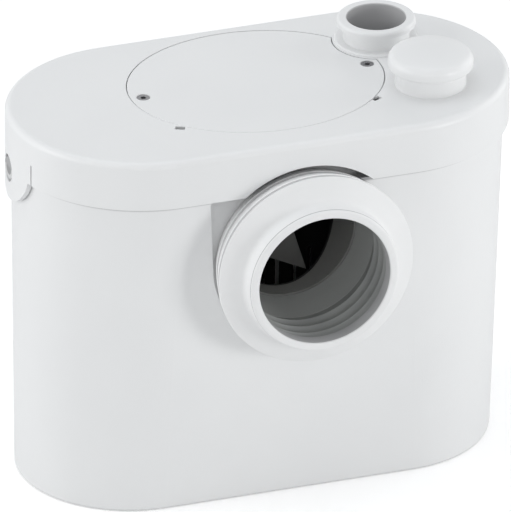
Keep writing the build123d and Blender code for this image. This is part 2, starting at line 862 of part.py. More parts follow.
# Discharge socket: tail through the roof, thin foot, straight neck, thick rounded rim
with BuildPart() as discharge_socket:
    socket_points = [
        (socket_bore_radius, socket_tail_bottom),
        (socket_neck_radius, socket_tail_bottom),
        (socket_neck_radius, lid_top),
        (socket_flange_radius, lid_top),
        (socket_flange_radius, lid_top + socket_flange_height / 2),
        (socket_flange_radius - socket_flange_height / 2, lid_top + socket_flange_height),
        (socket_neck_radius, lid_top + socket_flange_height),
        (socket_neck_radius, socket_top - socket_rim_height),
        (socket_rim_radius, socket_top - socket_rim_height + socket_flange_height / 2),
        (socket_rim_radius, socket_top),
        (socket_bore_radius, socket_top),
    ]
    revolve(outline(socket_section, socket_points), axis=socket_axis)
    rim_edges = discharge_socket.edges().filter_by(GeomType.CIRCLE)
    rim_edges = rim_edges.filter_by(lambda edge: abs(edge.radius - socket_rim_radius) < seat_gap)
    fillet(rim_edges.sort_by(Axis.Z)[-1], socket_rim_round)
    fillet(discharge_socket.edges().group_by(Axis.Z)[-1].sort_by(SortBy.RADIUS)[0], socket_rim_round / 2)
discharge_socket.part.label = "discharge_socket"
export_step(discharge_socket.part, "parts/discharge_socket.step")

# Vent spigot with an inner ledge for the filter
with BuildPart() as vent_spigot:
    vent_points = [
        (vent_ledge_radius, vent_tail_bottom),
        (vent_tail_radius, vent_tail_bottom),
        (vent_tail_radius, lid_top),
        (vent_outer_radius, lid_top),
        (vent_outer_radius, vent_top),
        (vent_bore_radius, vent_top),
        (vent_bore_radius, vent_tail_bottom + vent_ledge_height),
        (vent_ledge_radius, vent_tail_bottom + vent_ledge_height),
    ]
    revolve(outline(vent_section, vent_points), axis=vent_axis)
vent_spigot.part.label = "vent_spigot"
export_step(vent_spigot.part, "parts/vent_spigot.step")

# Carbon filter disc on the ledge
with BuildPart() as vent_filter:
    with BuildSketch(upright(vent_x, vent_y, vent_tail_bottom + vent_ledge_height)):
        Circle(vent_bore_radius - seat_gap)
    extrude(amount=vent_filter_height)
vent_filter.part.label = "vent_filter"
export_step(vent_filter.part, "parts/vent_filter.step")

# Mushroom cap with a slotted plug that drops into the spigot
with BuildPart() as vent_cap:
    brim_bottom = vent_top + seat_gap
    brim_top = brim_bottom + vent_brim_height
    plug_radius = vent_bore_radius - seat_gap
    dome_radius = (vent_brim_radius**2 + vent_dome_rise**2) / (2 * vent_dome_rise)
    with BuildSketch(upright(vent_x, vent_y, brim_bottom)):
        Circle(vent_brim_radius)
    extrude(amount=vent_brim_height)
    fillet(vent_cap.edges().group_by(Axis.Z)[0], vent_brim_under_round)
    with BuildSketch(vent_section):
        with BuildLine():
            ThreePointArc(
                (vent_brim_radius, brim_top),
                (
                    vent_brim_radius / 2,
                    brim_top + vent_dome_rise - dome_radius + sqrt(dome_radius**2 - vent_brim_radius**2 / 4),
                ),
                (0, brim_top + vent_dome_rise),
            )
            Polyline((0, brim_top + vent_dome_rise), (0, brim_top), (vent_brim_radius, brim_top))
        make_face()
    revolve(axis=vent_axis)
    shoulder = vent_cap.edges().filter_by(GeomType.CIRCLE)
    shoulder = shoulder.filter_by(lambda edge: abs(edge.radius - vent_brim_radius) < press_gap)
    fillet(shoulder.sort_by(Axis.Z)[-1], vent_brim_top_round)
    with BuildSketch(upright(vent_x, vent_y, brim_bottom - vent_plug_length)):
        Circle(plug_radius)
        Circle(plug_radius - vent_plug_wall, mode=Mode.SUBTRACT)
    extrude(amount=vent_plug_length)
    with BuildSketch(upright(vent_x, vent_y, brim_bottom - vent_plug_length)):
        with PolarLocations(plug_radius, vent_slot_count):
            Rectangle(4 * vent_plug_wall, vent_slot_width)
    extrude(amount=vent_slot_height, mode=Mode.SUBTRACT)
vent_cap.part.label = "vent_cap"
export_step(vent_cap.part, "parts/vent_cap.step")

# Rubber pan sleeve: ringed skirt over the spigot, sloping face, collar and ribbed bore
with BuildPart() as pan_sleeve:
    rib_start = sleeve_rim_front - sleeve_lip_length
    rib_pitch = (rib_start - neck_shoulder) / (sleeve_rib_count + 1)
    sleeve_points = [
        (sleeve_lip_radius, sleeve_rim_front),
        (sleeve_collar_radius, sleeve_rim_front),
        (sleeve_collar_radius, sleeve_collar_base),
        (sleeve_radius, sleeve_flange_front),
    ]
    for share in sleeve_groove_shares:
        groove_middle = sleeve_flange_front - share * sleeve_skirt_length
        groove_radius = sleeve_radius - share * (sleeve_radius - sleeve_rear_radius)
        sleeve_points += [
            (groove_radius, groove_middle + sleeve_groove_width / 2),
            (groove_radius - sleeve_groove_depth, groove_middle),
            (groove_radius, groove_middle - sleeve_groove_width / 2),
        ]
    sleeve_points += [
        (sleeve_rear_radius, sleeve_rear),
        (sleeve_skirt_inner_radius, sleeve_rear),
        (sleeve_skirt_inner_radius, spigot_front + seat_gap),
        (sleeve_tube_radius, spigot_front + seat_gap),
        (sleeve_tube_radius, neck_shoulder + seat_gap),
        (neck_mouth_radius, neck_shoulder + seat_gap),
    ]
    for rib in range(sleeve_rib_count, 0, -1):
        rib_middle = rib_start - rib * rib_pitch
        sleeve_points += [
            (sleeve_inner_radius, rib_middle - rib_pitch / 4),
            (sleeve_inner_radius - sleeve_rib_height, rib_middle),
            (sleeve_inner_radius, rib_middle + rib_pitch / 4),
        ]
    sleeve_points += [(sleeve_inner_radius, rib_start), (sleeve_lip_radius, rib_start)]
    revolve(outline(inlet_section, sleeve_points), axis=inlet_axis)
    rounds = pan_sleeve.edges().filter_by(GeomType.CIRCLE)
    collar_rim = rounds.filter_by(lambda edge: abs(edge.radius - sleeve_collar_radius) < press_gap)
    fillet(collar_rim.sort_by(Axis.Y)[0], sleeve_collar_round)
    flange_rim = pan_sleeve.edges().filter_by(GeomType.CIRCLE)
    flange_rim = flange_rim.filter_by(lambda edge: abs(edge.radius - sleeve_radius) < press_gap)
    fillet(flange_rim.sort_by(Axis.Y)[0], sleeve_edge_round)
pan_sleeve.part.label = "pan_sleeve"
export_step(pan_sleeve.part, "parts/pan_sleeve.step")

# Motor pot: deck that closes the well from below, pot, bearing boss and hub
with BuildPart() as motor_pot:
    extrude(
        cover_oval(
            deck_bottom,
            well_half_length + well_wall,
            well_half_depth + well_wall,
            well_bite - well_wall,
        ),
        amount=deck_thickness,
    )
    with BuildSketch(Plane.XY.offset(deck_bottom)):
        with Locations(*deck_screw_places):
            Circle(deck_ear_radius)
    extrude(amount=deck_thickness)
    with BuildSketch(upright(shaft_x, shaft_y, pot_bottom)):
        Circle(pot_radius)
    extrude(amount=deck_bottom - pot_bottom)
    with BuildSketch(upright(shaft_x, shaft_y, pot_bottom + pot_floor)):
        Circle(pot_radius - pot_wall)
    extrude(amount=deck_top, mode=Mode.SUBTRACT)
    with BuildSketch(upright(shaft_x, shaft_y, pot_bottom)):
        Circle(lower_boss_radius)
    extrude(amount=lower_bearing_z + lower_bearing_height - pot_bottom)
    with BuildSketch(upright(shaft_x, shaft_y, pot_bottom - hub_length)):
        Circle(hub_radius)
    extrude(amount=hub_length)
    with BuildSketch(upright(shaft_x, shaft_y, lower_bearing_z)):
        Circle(lower_bearing_radius + press_gap)
    extrude(amount=lower_bearing_height, mode=Mode.SUBTRACT)
    with BuildSketch(upright(shaft_x, shaft_y, pot_bottom - hub_length)):
        Circle(seal_radius + press_gap)
    extrude(amount=seal_bottom + seal_height - pot_bottom + hub_length, mode=Mode.SUBTRACT)
    with BuildSketch(upright(shaft_x, shaft_y, pot_bottom - hub_length)):
        Circle(shaft_radius + 2 * seat_gap)
    extrude(amount=hub_length + pot_floor, mode=Mode.SUBTRACT)
    # Legs for the upper bearing bracket and holes for screws and the switch plunger
    with BuildSketch(upright(shaft_x, shaft_y, deck_bottom)):
        with PolarLocations(bracket_leg_ring_radius, bracket_leg_count):
            Circle(bracket_leg_radius)
    extrude(amount=bracket_top - bracket_plate - deck_bottom)
    with BuildSketch(upright(shaft_x, shaft_y, bracket_top - bracket_screw_length)):
        with PolarLocations(bracket_leg_ring_radius, bracket_leg_count):
            Circle(bracket_screw_radius + press_gap)
    extrude(amount=bracket_screw_length, mode=Mode.SUBTRACT)
    with BuildSketch(Plane.XY.offset(deck_bottom)):
        with Locations(*deck_screw_places):
            Circle(deck_screw_radius + seat_gap)
        with Locations((bell_x, bell_y)):
            Circle(plunger_radius + seat_gap)
    extrude(amount=deck_thickness, mode=Mode.SUBTRACT)
motor_pot.part.label = "motor_pot"
export_step(motor_pot.part, "parts/motor_pot.step")

# Rubber ring between the deck and the well wall
with BuildPart() as deck_seal:
    extrude(
        cover_oval(
            deck_top,
            well_half_length + well_wall,
            well_half_depth + well_wall,
            well_bite - well_wall,
        ),
        amount=well_bottom - deck_top - seat_gap,
    )
    extrude(
        cover_oval(deck_top, well_half_length, well_half_depth, well_bite),
        amount=well_bottom - deck_top,
        mode=Mode.SUBTRACT,
    )
    with BuildSketch(Plane.XY.offset(deck_top)):
        with Locations(*deck_screw_places):
            Circle(deck_ear_radius + seat_gap)
    extrude(amount=well_bottom - deck_top, mode=Mode.SUBTRACT)
deck_seal.part.label = "deck_seal"
export_step(deck_seal.part, "parts/deck_seal.step")

# Four screws that hold the deck to the lid, driven from below
with BuildPart() as deck_screws:
    with BuildSketch(Plane.XY.offset(deck_bottom - deck_screw_head_height)):
        with Locations(*deck_screw_places):
            Circle(deck_screw_head_radius)
    extrude(amount=deck_screw_head_height)
    with BuildSketch(Plane.XY.offset(deck_bottom)):
        with Locations(*deck_screw_places):
            Circle(deck_screw_radius)
    extrude(amount=deck_screw_length)
    with BuildSketch(Plane.XY.offset(deck_bottom - deck_screw_head_height)):
        with Locations(*deck_screw_places):
            RegularPolygon(deck_screw_head_radius / 2, 6)
    extrude(amount=deck_screw_head_height / 2, mode=Mode.SUBTRACT)
deck_screws.part.label = "deck_screws"
export_step(deck_screws.part, "parts/deck_screws.step")

# Stator: laminated ring with open slots
with BuildPart() as stator:
    with BuildSketch(upright(shaft_x, shaft_y, stator_bottom)):
        Circle(stator_radius)
        Circle(stator_bore_radius, mode=Mode.SUBTRACT)
        slot_depth = slot_outer_radius - stator_bore_radius + overrun
        with PolarLocations(slot_outer_radius - slot_depth / 2, slot_count):
            Rectangle(slot_depth, slot_width, mode=Mode.SUBTRACT)
    extrude(amount=stator_height)
stator.part.label = "stator"
export_step(stator.part, "parts/stator.step")

# Windings: two end bundles joined by bars through the slots
with BuildPart() as windings:
    bundle_width = winding_outer_radius - winding_inner_radius
    bundle_middle = winding_inner_radius + bundle_width / 2
    lower_middle = stator_bottom - winding_gap - winding_lower_height / 2
    upper_middle = stator_top + winding_gap + winding_upper_height / 2
    with BuildSketch(shaft_section):
        with Locations((bundle_middle, lower_middle)):
            RectangleRounded(bundle_width, winding_lower_height, winding_round)
        with Locations((bundle_middle, upper_middle)):
            RectangleRounded(bundle_width, winding_upper_height, winding_round)
    revolve(axis=shaft_axis)
    bar_outer = slot_outer_radius - winding_gap
    bar_length = bar_outer - winding_inner_radius - winding_round
    with BuildSketch(upright(shaft_x, shaft_y, lower_middle)):
        with PolarLocations(bar_outer - bar_length / 2, slot_count):
            Rectangle(bar_length, slot_width - 2 * winding_gap)
    extrude(amount=upper_middle - lower_middle)
windings.part.label = "windings"
export_step(windings.part, "parts/windings.step")

# Rotor laminations and their cast end rings
with BuildPart() as rotor_core:
    with BuildSketch(upright(shaft_x, shaft_y, stator_bottom)):
        Circle(rotor_radius)
        Circle(shaft_radius + press_gap, mode=Mode.SUBTRACT)
    extrude(amount=stator_height)
rotor_core.part.label = "rotor_core"
export_step(rotor_core.part, "parts/rotor_core.step")

with BuildPart() as rotor_cage:
    for ring_z in (stator_bottom - cage_height, stator_top):
        with BuildSketch(upright(shaft_x, shaft_y, ring_z)):
            Circle(cage_radius)
            Circle(cage_inner_radius, mode=Mode.SUBTRACT)
        extrude(amount=cage_height)
rotor_cage.part.label = "rotor_cage"
export_step(rotor_cage.part, "parts/rotor_cage.step")

# Motor shaft: thick between the blade and the rotor, thinner at both ends
with BuildPart() as motor_shaft:
    shaft_top = upper_bearing_z + upper_bearing_height
    shaft_points = [
        (0, shaft_bottom),
        (shaft_end_radius, shaft_bottom),
        (shaft_end_radius, blade_top),
        (shaft_radius, blade_top),
        (shaft_radius, stator_top + cage_height),
        (shaft_end_radius, stator_top + cage_height),
        (shaft_end_radius, shaft_top),
        (0, shaft_top),
    ]
    revolve(outline(shaft_section, shaft_points), axis=shaft_axis)
motor_shaft.part.label = "motor_shaft"
export_step(motor_shaft.part, "parts/motor_shaft.step")


def bearing_section(height, base, outer_radius, bore_radius):
    """Half section of a ball bearing, with the shallow groove between its races on both faces."""
    top = base + height
    groove_middle = bore_radius + (outer_radius - bore_radius) * bearing_race_radius_share
    groove_inner = groove_middle - bearing_race_groove
    groove_outer = groove_middle + bearing_race_groove
    points = [
        (bore_radius, base),
        (groove_inner, base),
        (groove_inner, base + bearing_race_groove),
        (groove_outer, base + bearing_race_groove),
        (groove_outer, base),
        (outer_radius, base),
        (outer_radius, top),
        (groove_outer, top),
        (groove_outer, top - bearing_race_groove),
        (groove_inner, top - bearing_race_groove),
        (groove_inner, top),
        (bore_radius, top),
    ]
    return outline(shaft_section, points)


with BuildPart() as lower_bearing:
    lower_bore = shaft_radius + running_gap
    lower_section = bearing_section(lower_bearing_height, lower_bearing_z, lower_bearing_radius, lower_bore)
    revolve(lower_section, axis=shaft_axis)
lower_bearing.part.label = "lower_bearing"
export_step(lower_bearing.part, "parts/lower_bearing.step")

with BuildPart() as upper_bearing:
    upper_bore = shaft_end_radius + running_gap
    upper_section = bearing_section(upper_bearing_height, upper_bearing_z, upper_bearing_radius, upper_bore)
    revolve(upper_section, axis=shaft_axis)
upper_bearing.part.label = "upper_bearing"
export_step(upper_bearing.part, "parts/upper_bearing.step")

# Lip seal below the lower bearing
with BuildPart() as shaft_seal:
    extrude(
        ring(upright(shaft_x, shaft_y, seal_bottom), seal_radius, shaft_radius + 2 * running_gap),
        amount=seal_height,
    )
shaft_seal.part.label = "shaft_seal"
export_step(shaft_seal.part, "parts/shaft_seal.step")

# Bracket across the top of the motor, carrying the upper bearing on three legs
with BuildPart() as motor_bracket:
    with BuildSketch(upright(shaft_x, shaft_y, bracket_top - bracket_plate)):
        Circle(bracket_hub_radius)
        with PolarLocations(bracket_leg_ring_radius / 2, bracket_leg_count):
            Rectangle(bracket_leg_ring_radius, bracket_arm_width)
        with PolarLocations(bracket_leg_ring_radius, bracket_leg_count):
            Circle(bracket_arm_width / 2)
    extrude(amount=bracket_plate)
    with BuildSketch(upright(shaft_x, shaft_y, upper_bearing_z)):
        Circle(bracket_hub_radius)
    extrude(amount=bracket_top - upper_bearing_z)
    with BuildSketch(upright(shaft_x, shaft_y, upper_bearing_z)):
        Circle(upper_bearing_radius + press_gap)
    extrude(amount=upper_bearing_height + seat_gap, mode=Mode.SUBTRACT)
    with BuildSketch(upright(shaft_x, shaft_y, bracket_top - bracket_plate)):
        with PolarLocations(bracket_leg_ring_radius, bracket_leg_count):
            Circle(bracket_screw_radius + seat_gap)
    extrude(amount=bracket_plate, mode=Mode.SUBTRACT)
motor_bracket.part.label = "motor_bracket"
export_step(motor_bracket.part, "parts/motor_bracket.step")

with BuildPart() as bracket_screws:
    with BuildSketch(upright(shaft_x, shaft_y, bracket_top)):
        with PolarLocations(bracket_leg_ring_radius, bracket_leg_count):
            Circle(bracket_screw_head_radius)
    extrude(amount=bracket_screw_head_height)
    with BuildSketch(upright(shaft_x, shaft_y, bracket_top - bracket_screw_length + seat_gap)):
        with PolarLocations(bracket_leg_ring_radius, bracket_leg_count):
            Circle(bracket_screw_radius)
    extrude(amount=bracket_screw_length - seat_gap)
    with BuildSketch(upright(shaft_x, shaft_y, bracket_top + bracket_screw_head_height / 2)):
        with PolarLocations(bracket_leg_ring_radius, bracket_leg_count):
            RegularPolygon(bracket_screw_radius, 6)
    extrude(amount=bracket_screw_head_height, mode=Mode.SUBTRACT)
bracket_screws.part.label = "bracket_screws"
export_step(bracket_screws.part, "parts/bracket_screws.step")

# Guard that keeps paper off the shaft, with two fins that turn the flow down
with BuildPart() as shaft_guard:
    hub_bottom = pot_bottom - hub_length
    guard_points = [
        (guard_tube_bore, guard_fin_root_z),
        (guard_tube_radius, guard_fin_root_z),
        (guard_tube_radius, hub_bottom - guard_plate),
        (guard_collar_radius, hub_bottom - guard_plate),
        (guard_collar_radius, guard_collar_top),
        (hub_radius + press_gap, guard_collar_top),
        (hub_radius + press_gap, hub_bottom),
        (guard_tube_bore, hub_bottom),
    ]
    revolve(outline(shaft_section, guard_points), axis=shaft_axis)
    fin_points = [
        (guard_tube_bore + running_gap, guard_fin_root_z),
        (guard_fin_tip_radius, guard_fin_tip_z),
        (guard_collar_radius, hub_bottom - guard_plate / 2),
        (guard_tube_bore + running_gap, hub_bottom - guard_plate / 2),
    ]
    extrude(outline(shaft_section, fin_points), amount=guard_fin_thickness / 2, both=True)
    mirror(about=Plane.YZ.offset(shaft_x))
shaft_guard.part.label = "shaft_guard"
export_step(shaft_guard.part, "parts/shaft_guard.step")

# Macerating basket: drum with slots low down and a window towards the inlet
with BuildPart() as basket:
    with BuildSketch(upright(shaft_x, shaft_y, basket_bottom)):
        Circle(basket_outer_radius)
    extrude(amount=basket_top - basket_bottom)
    with BuildSketch(upright(shaft_x, shaft_y, basket_bottom + basket_floor)):
        Circle(basket_inner_radius)
    extrude(amount=basket_top, mode=Mode.SUBTRACT)
    with BuildSketch(Plane.XZ):
        with Locations((inlet_x, inlet_z)):
            Ellipse(basket_window_half_width, basket_window_half_height)
    extrude(amount=neck_end + overrun, mode=Mode.SUBTRACT)
    with BuildSketch(upright(shaft_x, shaft_y, basket_slot_bottom)):
        with PolarLocations(basket_outer_radius, basket_slot_count):
            Rectangle(4 * basket_wall, basket_slot_width)
    extrude(amount=basket_slot_height, mode=Mode.SUBTRACT)
    with BuildSketch(upright(shaft_x, shaft_y, basket_bottom)):
        Circle(spacer_radius + 2 * seat_gap)
        with PolarLocations(basket_hole_ring_radius, basket_hole_count):
            Circle(basket_hole_radius)
    extrude(amount=basket_floor, mode=Mode.SUBTRACT)
basket.part.label = "basket"
export_step(basket.part, "parts/basket.step")

# Collar round the basket's window, facing the inlet neck
with BuildPart() as basket_collar:
    with BuildSketch(Plane.XZ):
        with Locations((inlet_x, inlet_z)):
            Circle(basket_collar_radius + basket_collar_wall)
            Circle(basket_collar_radius, mode=Mode.SUBTRACT)
    extrude(amount=neck_end - basket_collar_gap)
    with BuildSketch(upright(shaft_x, shaft_y, basket_bottom)):
        Circle(basket_outer_radius + press_gap)
    extrude(amount=basket_top, mode=Mode.SUBTRACT)
basket_collar.part.label = "basket_collar"
export_step(basket_collar.part, "parts/basket_collar.step")

# Two-armed blade with an upturned wing at each tip
with BuildPart() as cutter_blade:
    with BuildSketch(upright(shaft_x, shaft_y, blade_z)):
        Circle(blade_radius)
        Rectangle(2 * blade_radius, blade_arm_width, mode=Mode.INTERSECT)
        Circle(blade_hub_radius)
    extrude(amount=blade_thickness)
    with BuildSketch(upright(shaft_x, shaft_y, blade_hub_bottom)):
        Circle(blade_hub_radius)
    extrude(amount=blade_hub_below)
    wing_middle = blade_radius * cos(asin(blade_arm_width / (2 * blade_radius))) - blade_wing_thickness / 2
    wing_side = blade_arm_width / 2
    wing_points = [
        (-wing_side, blade_z),
        (wing_side, blade_z),
        (wing_side, blade_top + blade_wing_height - blade_wing_slope),
        (-wing_side + blade_wing_slope, blade_top + blade_wing_height),
    ]
    for side in (-1, 1):
        wing_plane = Plane((shaft_x + side * wing_middle, shaft_y, 0), x_dir=(0, side, 0), z_dir=(side, 0, 0))
        extrude(outline(wing_plane, wing_points), amount=blade_wing_thickness / 2, both=True)
    with BuildSketch(upright(shaft_x, shaft_y, blade_hub_bottom)):
        Circle(shaft_end_radius + press_gap)
    extrude(amount=blade_top - blade_hub_bottom, mode=Mode.SUBTRACT)
cutter_blade.part.label = "cutter_blade"
export_step(cutter_blade.part, "parts/cutter_blade.step")

# Spacer between the blade and the impeller
with BuildPart() as blade_spacer:
    extrude(
        ring(upright(shaft_x, shaft_y, impeller_top), spacer_radius, shaft_end_radius + press_gap),
        amount=blade_hub_bottom - impeller_top,
    )
blade_spacer.part.label = "blade_spacer"
export_step(blade_spacer.part, "parts/blade_spacer.step")

# Impeller: back plate above, straight leaned vanes below
with BuildPart() as impeller:
    with BuildSketch(upright(shaft_x, shaft_y, impeller_bottom)):
        Circle(impeller_hub_radius)
    extrude(amount=impeller_top - impeller_bottom)
    with BuildSketch(upright(shaft_x, shaft_y, impeller_bottom)) as vanes:
        vane_length = impeller_radius - impeller_hub_radius
        with PolarLocations(impeller_hub_radius + vane_length / 2, impeller_vane_count):
            Rectangle(vane_length, impeller_vane_thickness, rotation=impeller_vane_angle)
        Circle(impeller_radius, mode=Mode.INTERSECT)
    extrude(amount=impeller_top - impeller_bottom)
    with BuildSketch(upright(shaft_x, shaft_y, impeller_top - impeller_plate)):
        Circle(impeller_radius)
    extrude(amount=impeller_plate)
    with BuildSketch(upright(shaft_x, shaft_y, impeller_bottom)):
        Circle(shaft_end_radius + press_gap)
    extrude(amount=impeller_top - impeller_bottom, mode=Mode.SUBTRACT)
impeller.part.label = "impeller"
export_step(impeller.part, "parts/impeller.step")

with BuildPart() as impeller_nut:
    with BuildSketch(upright(shaft_x, shaft_y, impeller_bottom - nut_height)):
        RegularPolygon(nut_radius, 6)
        Circle(shaft_end_radius + press_gap, mode=Mode.SUBTRACT)
    extrude(amount=nut_height)
impeller_nut.part.label = "impeller_nut"
export_step(impeller_nut.part, "parts/impeller_nut.step")

# Pump casing: round chamber with an eye below, three feet and a tangent outlet
with BuildPart() as pump_casing:
    with BuildSketch(upright(shaft_x, shaft_y, casing_bottom)):
        Circle(chamber_radius + casing_wall)
    extrude(amount=casing_top - casing_bottom)
    with BuildSketch(upright(shaft_x, shaft_y, tank_floor)):
        with PolarLocations(casing_foot_ring_radius, casing_foot_count):
            Circle(casing_foot_radius)
    extrude(amount=casing_foot_height)
    with BuildSketch(upright(shaft_x, shaft_y, casing_top - casing_boss_height)):
        with PolarLocations(casing_boss_ring_radius, casing_screw_count, start_angle=casing_screw_angle):
            Circle(casing_boss_radius)
    extrude(amount=casing_boss_height)
    with BuildSketch(across_outlet(0)):
        Circle(outlet_radius)
    extrude(amount=outlet_length)
    with BuildSketch(upright(shaft_x, shaft_y, casing_top)):
        Circle(chamber_radius + casing_wall + seat_gap)
    extrude(amount=overrun, mode=Mode.SUBTRACT)
    with BuildSketch(upright(shaft_x, shaft_y, casing_bottom + casing_plate)):
        Circle(chamber_radius)
    extrude(amount=chamber_height, mode=Mode.SUBTRACT)
    with BuildSketch(across_outlet(0)):
        Circle(outlet_bore_radius)
    extrude(amount=outlet_length, mode=Mode.SUBTRACT)
    with BuildSketch(upright(shaft_x, shaft_y, casing_bottom)):
        Circle(eye_radius)
    extrude(amount=casing_plate, mode=Mode.SUBTRACT)
    with BuildSketch(upright(shaft_x, shaft_y, casing_top - casing_screw_length)):
        with PolarLocations(casing_boss_ring_radius, casing_screw_count, start_angle=casing_screw_angle):
            Circle(casing_screw_radius + press_gap)
    extrude(amount=casing_screw_length, mode=Mode.SUBTRACT)
pump_casing.part.label = "pump_casing"
export_step(pump_casing.part, "parts/pump_casing.step")

with BuildPart() as pump_cover:
    with BuildSketch(upright(shaft_x, shaft_y, casing_top)):
        Circle(chamber_radius + casing_wall)
        with PolarLocations(casing_boss_ring_radius, casing_screw_count, start_angle=casing_screw_angle):
            Circle(casing_boss_radius)
        Circle(spacer_radius + 2 * seat_gap, mode=Mode.SUBTRACT)
    extrude(amount=casing_cover_thickness)
    screw_ring = PolarLocations(casing_boss_ring_radius, casing_screw_count, start_angle=casing_screw_angle)
    for spot in screw_ring:
        with Locations(Location((shaft_x, shaft_y, casing_top + casing_cover_thickness)) * spot):
            CounterSinkHole(casing_screw_radius + seat_gap, casing_screw_head_radius + seat_gap)
pump_cover.part.label = "pump_cover"
export_step(pump_cover.part, "parts/pump_cover.step")

with BuildPart() as pump_screws:
    pump_screw_top = casing_top + casing_cover_thickness
    screw_taper = casing_screw_head_radius - casing_screw_radius
    for spot in screw_ring:
        centre = (Location((shaft_x, shaft_y, 0)) * spot).position
        screw_section = Plane((centre.X, centre.Y, 0), x_dir=(1, 0, 0), z_dir=(0, -1, 0))
        screw_points = [
            (0, pump_screw_top),
            (casing_screw_head_radius, pump_screw_top),
            (casing_screw_radius, pump_screw_top - screw_taper),
            (casing_screw_radius, casing_top - casing_screw_length + seat_gap),
            (0, casing_top - casing_screw_length + seat_gap),
        ]
        revolve(outline(screw_section, screw_points), axis=Axis((centre.X, centre.Y, 0), (0, 0, 1)))
pump_screws.part.label = "pump_screws"
export_step(pump_screws.part, "parts/pump_screws.step")

# Riser hose: over the pump outlet, round one bend and up to the valve
with BuildPart() as riser_hose:
    riser_start = along_outlet(outlet_length - riser_overlap)
    bend_start = along_outlet(outlet_run - riser_bend_radius)
    bend_middle = along_outlet(outlet_run - riser_bend_radius * (1 - sin(radians(45))))
    bend_rise = riser_bend_radius * (1 - cos(radians(45)))
    with BuildLine() as riser_path:
        Line(riser_start, bend_start)
        ThreePointArc(
            bend_start,
            (bend_middle[0], bend_middle[1], outlet_z + bend_rise),
            (socket_x, socket_y, outlet_z + riser_bend_radius),
        )
        Line((socket_x, socket_y, outlet_z + riser_bend_radius), (socket_x, socket_y, riser_top))
    hose_start = across_outlet(outlet_length - riser_overlap)
    sweep(ring(hose_start, riser_bore_radius + riser_wall, riser_bore_radius))
riser_hose.part.label = "riser_hose"
export_step(riser_hose.part, "parts/riser_hose.step")

# A worm-drive clip at each end of the hose
with BuildPart() as hose_clips:
    clip_inner = riser_bore_radius + riser_wall + press_gap
    lower_clip = across_outlet(outlet_length - riser_overlap / 2 - clip_width / 2)
    upper_clip = upright(socket_x, socket_y, riser_top - clip_width - (riser_overlap - clip_width) / 4)
    for clip_plane in (lower_clip, upper_clip):
        extrude(ring(clip_plane, clip_inner + clip_wall, clip_inner), amount=clip_width)
        with BuildSketch(clip_plane):
            with Locations((0, clip_inner + clip_wall / 2 + clip_lug_length / 2)):
                Rectangle(clip_lug_width, clip_lug_length)
        extrude(amount=clip_width)
hose_clips.part.label = "hose_clips"
export_step(hose_clips.part, "parts/hose_clips.step")

# Valve body: spigot for the hose, chamber for the flap, socket for the lid's tail, hinge lugs
with BuildPart() as valve_body:
    valve_outer_radius = valve_bore_radius + valve_wall
    valve_points = [
        (valve_spigot_bore, valve_bottom - valve_spigot_length),
        (outlet_radius, valve_bottom - valve_spigot_length),
        (outlet_radius, valve_bottom),
        (valve_outer_radius, valve_bottom),
        (valve_outer_radius, valve_top),
        (valve_bore_radius, valve_top),
        (valve_bore_radius, valve_bottom + valve_floor),
        (valve_spigot_bore, valve_bottom + valve_floor),
    ]
    revolve(outline(socket_section, valve_points), axis=socket_axis)
    lug_length = valve_bore_radius + valve_wall / 2 - lug_reach
    for side in (-1, 1):
        lug_y = socket_y + side * (lug_inner + lug_thickness / 2)
        with BuildSketch(upright(socket_x, lug_y, flap_hinge_z - lug_height / 2)):
            with Locations((-lug_reach - lug_length / 2, 0)):
                Rectangle(lug_length, lug_thickness)
        extrude(amount=lug_height)
    with BuildSketch(Plane.XZ.offset(-socket_y)):
        with Locations((socket_x - flap_hinge_offset, flap_hinge_z)):
            Circle(flap_pin_radius + press_gap)
    extrude(amount=flap_pin_length / 2, both=True, mode=Mode.SUBTRACT)
valve_body.part.label = "valve_body"
export_step(valve_body.part, "parts/valve_body.step")

with BuildPart() as valve_seat:
    extrude(
        ring(
            upright(socket_x, socket_y, valve_bottom + valve_floor + seat_gap),
            valve_bore_radius - seat_gap,
            seat_hole_radius,
        ),
        amount=seat_height,
    )
valve_seat.part.label = "valve_seat"
export_step(valve_seat.part, "parts/valve_seat.step")

# Non-return flap with its hinge knuckle
with BuildPart() as check_flap:
    with BuildSketch(upright(socket_x, socket_y, flap_bottom)):
        Circle(flap_radius)
        with Locations((-flap_hinge_offset / 2, 0)):
            Rectangle(flap_hinge_offset, flap_knuckle_width - 2 * seat_gap)
    extrude(amount=flap_thickness)
    with BuildSketch(Plane.XZ.offset(-socket_y)):
        with Locations((socket_x - flap_hinge_offset, flap_hinge_z)):
            Circle(flap_knuckle_radius)
    extrude(amount=flap_knuckle_width / 2, both=True)
    with BuildSketch(upright(socket_x, socket_y, flap_bottom - overrun)):
        Rectangle(2 * valve_outer_radius, 2 * valve_outer_radius)
    extrude(amount=overrun, mode=Mode.SUBTRACT)
    with BuildSketch(Plane.XZ.offset(-socket_y)):
        with Locations((socket_x - flap_hinge_offset, flap_hinge_z)):
            Circle(flap_pin_radius + running_gap)
    extrude(amount=flap_knuckle_width, both=True, mode=Mode.SUBTRACT)
check_flap.part.label = "check_flap"
export_step(check_flap.part, "parts/check_flap.step")

with BuildPart() as flap_pin:
    with BuildSketch(Plane.XZ.offset(-socket_y)):
        with Locations((socket_x - flap_hinge_offset, flap_hinge_z)):
            Circle(flap_pin_radius)
    extrude(amount=flap_pin_length / 2 - seat_gap, both=True)
flap_pin.part.label = "flap_pin"
export_step(flap_pin.part, "parts/flap_pin.step")

